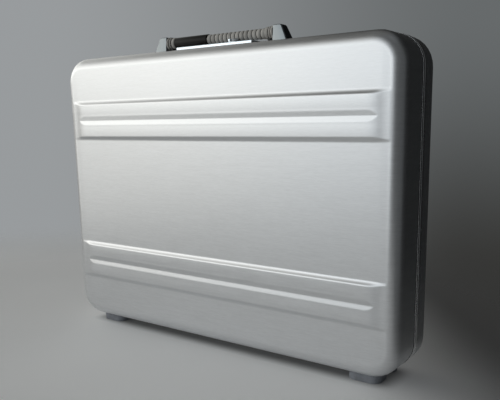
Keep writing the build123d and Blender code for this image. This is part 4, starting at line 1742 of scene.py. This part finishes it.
def prism_along_x(outline, low_x, high_x, rim):
    """Closed shell of a counterclockwise outline in Y and Z, drawn along X, with rounded rims."""
    plan, along = rounded_prism(outline, low_x, high_x, rim)
    return capped(np.stack([along, plan[..., 0], plan[..., 1]], axis=-1))


def thumb_shells(sizes, low, high, plate_top):
    """Thumb slide: a wedge that rises backwards, a ridge at its left end, and its stem."""
    hover, crest_share = 0.00015, 0.62
    foot_round, top_round, lip_round, end_rim = 0.0002, 0.0004, 0.0003, 0.0002
    stem_inset, stem_overlap, stem_rim = 0.0016, 0.0003, 0.0001
    front, back, top = low[1], high[1], high[2]
    bottom = plate_top + hover
    lip = bottom + sizes.thumb_lip
    crest = front + crest_share * (back - front)
    wedge = [(front, bottom), (back, bottom), (back, top), (crest, top), (front, lip)]
    wedge = filleted(wedge, [foot_round, foot_round, top_round, top_round, lip_round], 4)
    ridge = [(front, bottom), (back, bottom), (back, top), (front, top)]
    ridge = filleted(ridge, [foot_round, foot_round, top_round, top_round], 4)
    ridge_end = low[0] + sizes.thumb_ridge
    stem_x = (low[0] + high[0]) / 2
    stem_front, stem_back = front + stem_inset, back - stem_inset
    stem_top = bottom + stem_overlap
    stem = [(stem_front, low[2]), (stem_back, low[2]), (stem_back, stem_top), (stem_front, stem_top)]
    return [
        prism_along_x(wedge, ridge_end, high[0], end_rim),
        prism_along_x(ridge, low[0], ridge_end, end_rim),
        prism_along_x(np.array(stem), stem_x - STEM_HALF, stem_x + STEM_HALF, stem_rim),
    ]


class CASE_OT_lock(bpy.types.Operator):
    """Shapes the thumb slide and finishes the lock plate, its screws and its case"""

    bl_idname = "case.lock"
    bl_label = "Lock plate"

    def execute(self, context):
        plate = finish("plate_aluminium")
        low, high = corners("thumb_slide")
        shells = thumb_shells(context.scene.case_grip, low, high, corners("lock_plate")[1][2])
        add_piece("wedge_thumb_slide", shells, plate, "lock", ["thumb_slide"])
        dress(plate, "lock_plate", rim=0.0004)
        dress(finish("plated_steel"), "plate_screws", "lock_case", "dial_spindle")
        return {"FINISHED"}


def digit_mesh(digit, size, thickness):
    """Points and faces of a plain digit, flat in X and Y and centred on the origin."""
    text = bpy.data.curves.new("digit", "FONT")
    text.body = str(digit)
    text.size = size
    text.extrude = thickness / 2
    text.align_x = "CENTER"
    text.align_y = "CENTER"
    shown = bpy.data.objects.new("digit", text)
    bpy.context.scene.collection.objects.link(shown)
    bpy.context.view_layer.update()
    mesh = bpy.data.meshes.new_from_object(shown.evaluated_get(bpy.context.evaluated_depsgraph_get()))
    points = np.empty(3 * len(mesh.vertices))
    mesh.vertices.foreach_get("co", points)
    points = points.reshape(-1, 3)
    faces = [np.array(face.vertices) for face in mesh.polygons]
    bpy.data.objects.remove(shown)
    bpy.data.curves.remove(text)
    bpy.data.meshes.remove(mesh)
    points[:, :2] -= (points[:, :2].min(axis=0) + points[:, :2].max(axis=0)) / 2
    return points, faces


def dial_numbers(sizes, low, high):
    """Ten digits wrapped on a dial: text height y goes to the angle y / radius about the dial's axis."""
    centre = (low + high) / 2
    radius = (high[2] - low[2]) / 2
    shells = []
    for digit in range(10):
        points, faces = digit_mesh(digit, sizes.digit_size, sizes.digit_thickness)
        angle = points[:, 1] / radius + digit * math.pi / 5
        from_axis = radius + points[:, 2] + sizes.digit_thickness / 4
        across = centre[1] + from_axis * np.sin(angle)
        up = centre[2] + from_axis * np.cos(angle)
        wrapped = np.stack([centre[0] + points[:, 0], across, up], axis=1)
        shells.append((wrapped, np.empty((0, 4), int), faces))
    return shells


class CASE_OT_dials(bpy.types.Operator):
    """Finishes the number dials and paints plain numbers on them"""

    bl_idname = "case.dials"
    bl_label = "Number dials"

    def execute(self, context):
        sizes = context.scene.case_grip
        for number in (1, 2, 3):
            dress(finish("smooth_black"), f"dial_{number}", rim=0.0003)
            shells = dial_numbers(sizes, *corners(f"dial_{number}"))
            body = f"number_dial_{number}"
            add_piece(f"dial_{number}_numbers", shells, finish("number_paint"), body)
        return {"FINISHED"}


class CASE_OT_bolts(bpy.types.Operator):
    """Finishes the lock bar, its guides, the bolts and their keepers"""

    bl_idname = "case.bolts"
    bl_label = "Bolts and keepers"

    def execute(self, context):
        steel = finish("plated_steel")
        for side in SIDES:
            dress(steel, f"bolt_{side}", f"keeper_{side}")
            dress(finish("cover_plastic"), f"bar_guide_{side}")
        dress(steel, "lock_bar", "keeper_rivets")
        return {"FINISHED"}


# The stage


def place_camera(stage):
    """Camera turned by yaw, pitch and roll, looking along +Y when all three are 0."""
    yaw, pitch, roll = stage.camera_turn
    ahead = Vector(
        (-math.sin(yaw) * math.cos(pitch), math.cos(yaw) * math.cos(pitch), -math.sin(pitch))
    )
    right = Vector((math.cos(yaw), math.sin(yaw), 0))
    up = right.cross(ahead)
    rolled_right = math.cos(roll) * right + math.sin(roll) * up
    rolled_up = math.cos(roll) * up - math.sin(roll) * right
    lens = bpy.data.cameras.new("camera")
    lens.sensor_width = 36.0
    lens.lens = stage.lens
    lens.shift_x, lens.shift_y = stage.shift
    lens.clip_start = 0.01
    made = bpy.data.objects.new("camera", lens)
    axes = Matrix((rolled_right, rolled_up, -ahead)).transposed()
    made.matrix_world = Matrix.Translation(stage.camera_place) @ axes.to_4x4()
    bpy.context.scene.collection.objects.link(made)
    bpy.context.scene.camera = made


def lay_floor(stage):
    """Large pale floor that fades into the backdrop away from the case.

    It has painted shade that darkens it to the right, along x + slant * y, and a painted shadow under the
    case, inwards from its outline. It also glows a little, as painted light that stands for light from
    above.
    """
    half, slant = 6.0, 0.8
    shadow_edge, shadow_end_x, shadow_end_y = 0.004, 0.03, 0.026
    square = np.array([(-half, -half, 0), (half, -half, 0), (half, half, 0), (-half, half, 0)])
    mesh = bpy.data.meshes.new("floor")
    mesh.from_pydata(square.tolist(), [], [(0, 1, 2, 3)])
    material = bpy.data.materials.new("pale_floor")
    material.use_nodes = True
    tree = material.node_tree
    shader = tree.nodes["Principled BSDF"]
    place = add_node(tree, "ShaderNodeTexCoord").outputs["Object"]
    tone = noise(tree, place, 3.0, 3.0)
    parts = add_node(tree, "ShaderNodeSeparateXYZ", {0: place}).outputs
    # Painted shade: the floor's colour gets darker to the right and under the case
    rightwards = math_node(tree, "MULTIPLY_ADD", parts[1], slant, parts[0])
    painted_shade = ramp_node(tree, rightwards, *stage.floor_shade, 1.0, stage.floor_dim)
    lengthwise = math_node(tree, "ABSOLUTE", parts[0])
    crosswise = math_node(tree, "ABSOLUTE", parts[1])
    half_x, half_y = CASE_HALF_X, lid_high[1]
    start_y, end_y = half_y - shadow_edge, half_y - shadow_end_y
    under = math_node(
        tree,
        "MULTIPLY",
        ramp_node(tree, lengthwise, half_x - shadow_edge, half_x - shadow_end_x),
        ramp_node(tree, crosswise, start_y, end_y, 0.0, stage.floor_shadow),
    )
    painted_shade = math_node(tree, "MULTIPLY", painted_shade, math_node(tree, "SUBTRACT", 1.0, under))
    inputs = {0: tinted(tree, stage.floor, tone, 0.97, 1.03), "Scale": painted_shade}
    colour = add_node(tree, "ShaderNodeVectorMath", inputs, operation="SCALE").outputs[0]
    links = {"Base Color": colour, "Emission Color": colour}
    finish_shader(tree, shader, links, {"Roughness": 0.85, "Emission Strength": stage.floor_glow})
    inputs = {0: place, 1: tuple(stage.floor_middle)}
    distance = add_node(tree, "ShaderNodeVectorMath", inputs, operation="DISTANCE").outputs["Value"]
    clear = add_node(tree, "ShaderNodeBsdfTransparent")
    fade = ramp_node(tree, distance, *stage.floor_fade)
    mixed = add_node(tree, "ShaderNodeMixShader", {0: fade, 1: shader.outputs[0], 2: clear.outputs[0]})
    tree.links.new(mixed.outputs[0], tree.nodes["Material Output"].inputs["Surface"])
    mesh.materials.append(material)
    made = bpy.data.objects.new("floor", mesh)
    bpy.context.scene.collection.objects.link(made)


def mixed_colour(tree, share, first, second):
    """Output of a colour mix."""
    made = add_node(tree, "ShaderNodeMix", {0: share}, data_type="RGBA")
    for number, colour in ((6, first), (7, second)):
        if isinstance(colour, bpy.types.NodeSocket):
            tree.links.new(colour, made.inputs[number])
        else:
            made.inputs[number].default_value = (*colour, 1)
    return made.outputs[2]


def light_room(stage):
    """Soft light from a large window at the left, and a plain backdrop behind the case.

    The light is a function of direction: its turn is atan2(x, -y), and its rise is asin(z). Below
    the window the lit room gets dimmer downwards. Only the camera sees the backdrop, whose tone is a
    function of atan2(x, y) and the rise: painted light makes it lighter at the left, and painted shade
    makes it darker at the right and darkest low down there.
    """
    world = bpy.data.worlds.new("studio")
    bpy.context.scene.world = world
    bpy.context.scene.view_settings.view_transform = "Standard"
    world.use_nodes = True
    tree = world.node_tree
    way = add_node(tree, "ShaderNodeTexCoord").outputs["Generated"]
    parts = add_node(tree, "ShaderNodeSeparateXYZ", {0: way}).outputs
    turn = math_node(tree, "ARCTAN2", parts[0], math_node(tree, "MULTIPLY", parts[1], -1.0))
    rise = math_node(tree, "ARCSINE", parts[2])
    start_blur, end_blur = stage.window_turn_blur
    start, end = stage.window_turn
    across = math_node(
        tree,
        "MULTIPLY",
        ramp_node(tree, turn, start - start_blur, start + start_blur),
        ramp_node(tree, turn, end + end_blur, end - end_blur),
    )
    fill_start, fill_edge, fill_end = stage.fill_turn
    fill = math_node(
        tree,
        "MULTIPLY",
        ramp_node(tree, turn, fill_start, fill_edge / 2, 0.0, stage.fill_strength),
        ramp_node(tree, turn, fill_end, fill_edge),
    )
    sill_blur, head_blur = stage.window_rise_blur
    sill, head = stage.window_rise
    raised = ramp_node(tree, turn, *stage.sill_turn, stage.sill_raise, 0.0)
    over_sill = math_node(tree, "SUBTRACT", rise, raised)
    above = ramp_node(tree, over_sill, sill - sill_blur, sill + sill_blur)
    under = ramp_node(tree, rise, head + head_blur, head - head_blur)
    window = math_node(tree, "MULTIPLY", above, math_node(tree, "MULTIPLY", under, stage.window_strength))
    table = ramp_node(tree, rise, -stage.table_depth, 0.0, *stage.table_strength)
    table_end = ramp_node(tree, turn, *stage.table_turn, stage.table_dim, 1.0)
    table = math_node(tree, "MULTIPLY", table, table_end)
    below = math_node(tree, "MULTIPLY", table, math_node(tree, "SUBTRACT", 1.0, above))
    both = math_node(tree, "MULTIPLY", across, math_node(tree, "ADD", window, below))
    ceiling = ramp_node(tree, rise, *stage.ceiling_rise, stage.ambient, stage.ceiling_strength)
    strength = math_node(tree, "ADD", math_node(tree, "ADD", both, fill), ceiling)
    cool = ramp_node(tree, turn, *stage.cool_turn)
    colour = mixed_colour(tree, cool, stage.warm_light, stage.cool_light)
    lit = add_node(tree, "ShaderNodeBackground", {"Color": colour, "Strength": strength})
    # Painted light and shade on the backdrop: lighter at the left, darker at the right and darkest low
    # down there
    sight = math_node(tree, "ARCTAN2", parts[0], parts[1])
    shade = math_node(
        tree,
        "MULTIPLY",
        ramp_node(tree, sight, *stage.backdrop_darkens),
        ramp_node(tree, sight, *reversed(stage.backdrop_lightens)),
    )
    height = ramp_node(tree, rise, *stage.backdrop_rise)
    right = mixed_colour(tree, height, stage.backdrop_low, stage.backdrop_high)
    tone = mixed_colour(tree, shade, stage.backdrop_left, right)
    plain = add_node(tree, "ShaderNodeBackground", {"Color": tone, "Strength": 1.0})
    seen = add_node(tree, "ShaderNodeLightPath").outputs["Is Camera Ray"]
    mixed = add_node(tree, "ShaderNodeMixShader", {0: seen, 1: lit.outputs[0], 2: plain.outputs[0]})
    tree.links.new(mixed.outputs[0], tree.nodes["World Output"].inputs["Surface"])


class CASE_OT_stage(bpy.types.Operator):
    """Places the camera, lays the floor and lights the room"""

    bl_idname = "case.stage"
    bl_label = "Stage"

    def execute(self, context):
        stage = context.scene.case_stage
        place_camera(stage)
        lay_floor(stage)
        light_room(stage)
        return {"FINISHED"}


class CASE_PT_sidebar(bpy.types.Panel):
    """Buttons for every piece of the case"""

    bl_idname = "CASE_PT_sidebar"
    bl_label = "Attache case"
    bl_space_type = "VIEW_3D"
    bl_region_type = "UI"
    bl_category = "Case"

    def draw(self, context):
        for operator in OPERATORS:
            self.layout.operator(operator.bl_idname)


OPERATORS = (
    CASE_OT_stage,
    CASE_OT_shells,
    CASE_OT_mouth_frames,
    CASE_OT_linings,
    CASE_OT_pocket,
    CASE_OT_cover,
    CASE_OT_feet,
    CASE_OT_hinges,
    CASE_OT_posts,
    CASE_OT_grip,
    CASE_OT_lock,
    CASE_OT_dials,
    CASE_OT_bolts,
)
GROUPS_OF_SIZES = {
    "case_shell": CaseShellSizes,
    "case_trim": CaseTrimSizes,
    "case_grip": CaseGripSizes,
    "case_colours": CaseColours,
    "case_stage": CaseStage,
}


def register():
    for name, group in GROUPS_OF_SIZES.items():
        bpy.utils.register_class(group)
        setattr(bpy.types.Scene, name, PointerProperty(type=group))
    for operator in OPERATORS:
        bpy.utils.register_class(operator)
    bpy.utils.register_class(CASE_PT_sidebar)


def unregister():
    bpy.utils.unregister_class(CASE_PT_sidebar)
    for operator in reversed(OPERATORS):
        bpy.utils.unregister_class(operator)
    for name, group in reversed(GROUPS_OF_SIZES.items()):
        delattr(bpy.types.Scene, name)
        bpy.utils.unregister_class(group)


def main():
    """Builds every piece in order."""
    register()
    for operator in OPERATORS:
        family, name = operator.bl_idname.split(".")
        getattr(getattr(bpy.ops, family), name)()


if __name__ == "__main__":
    main()
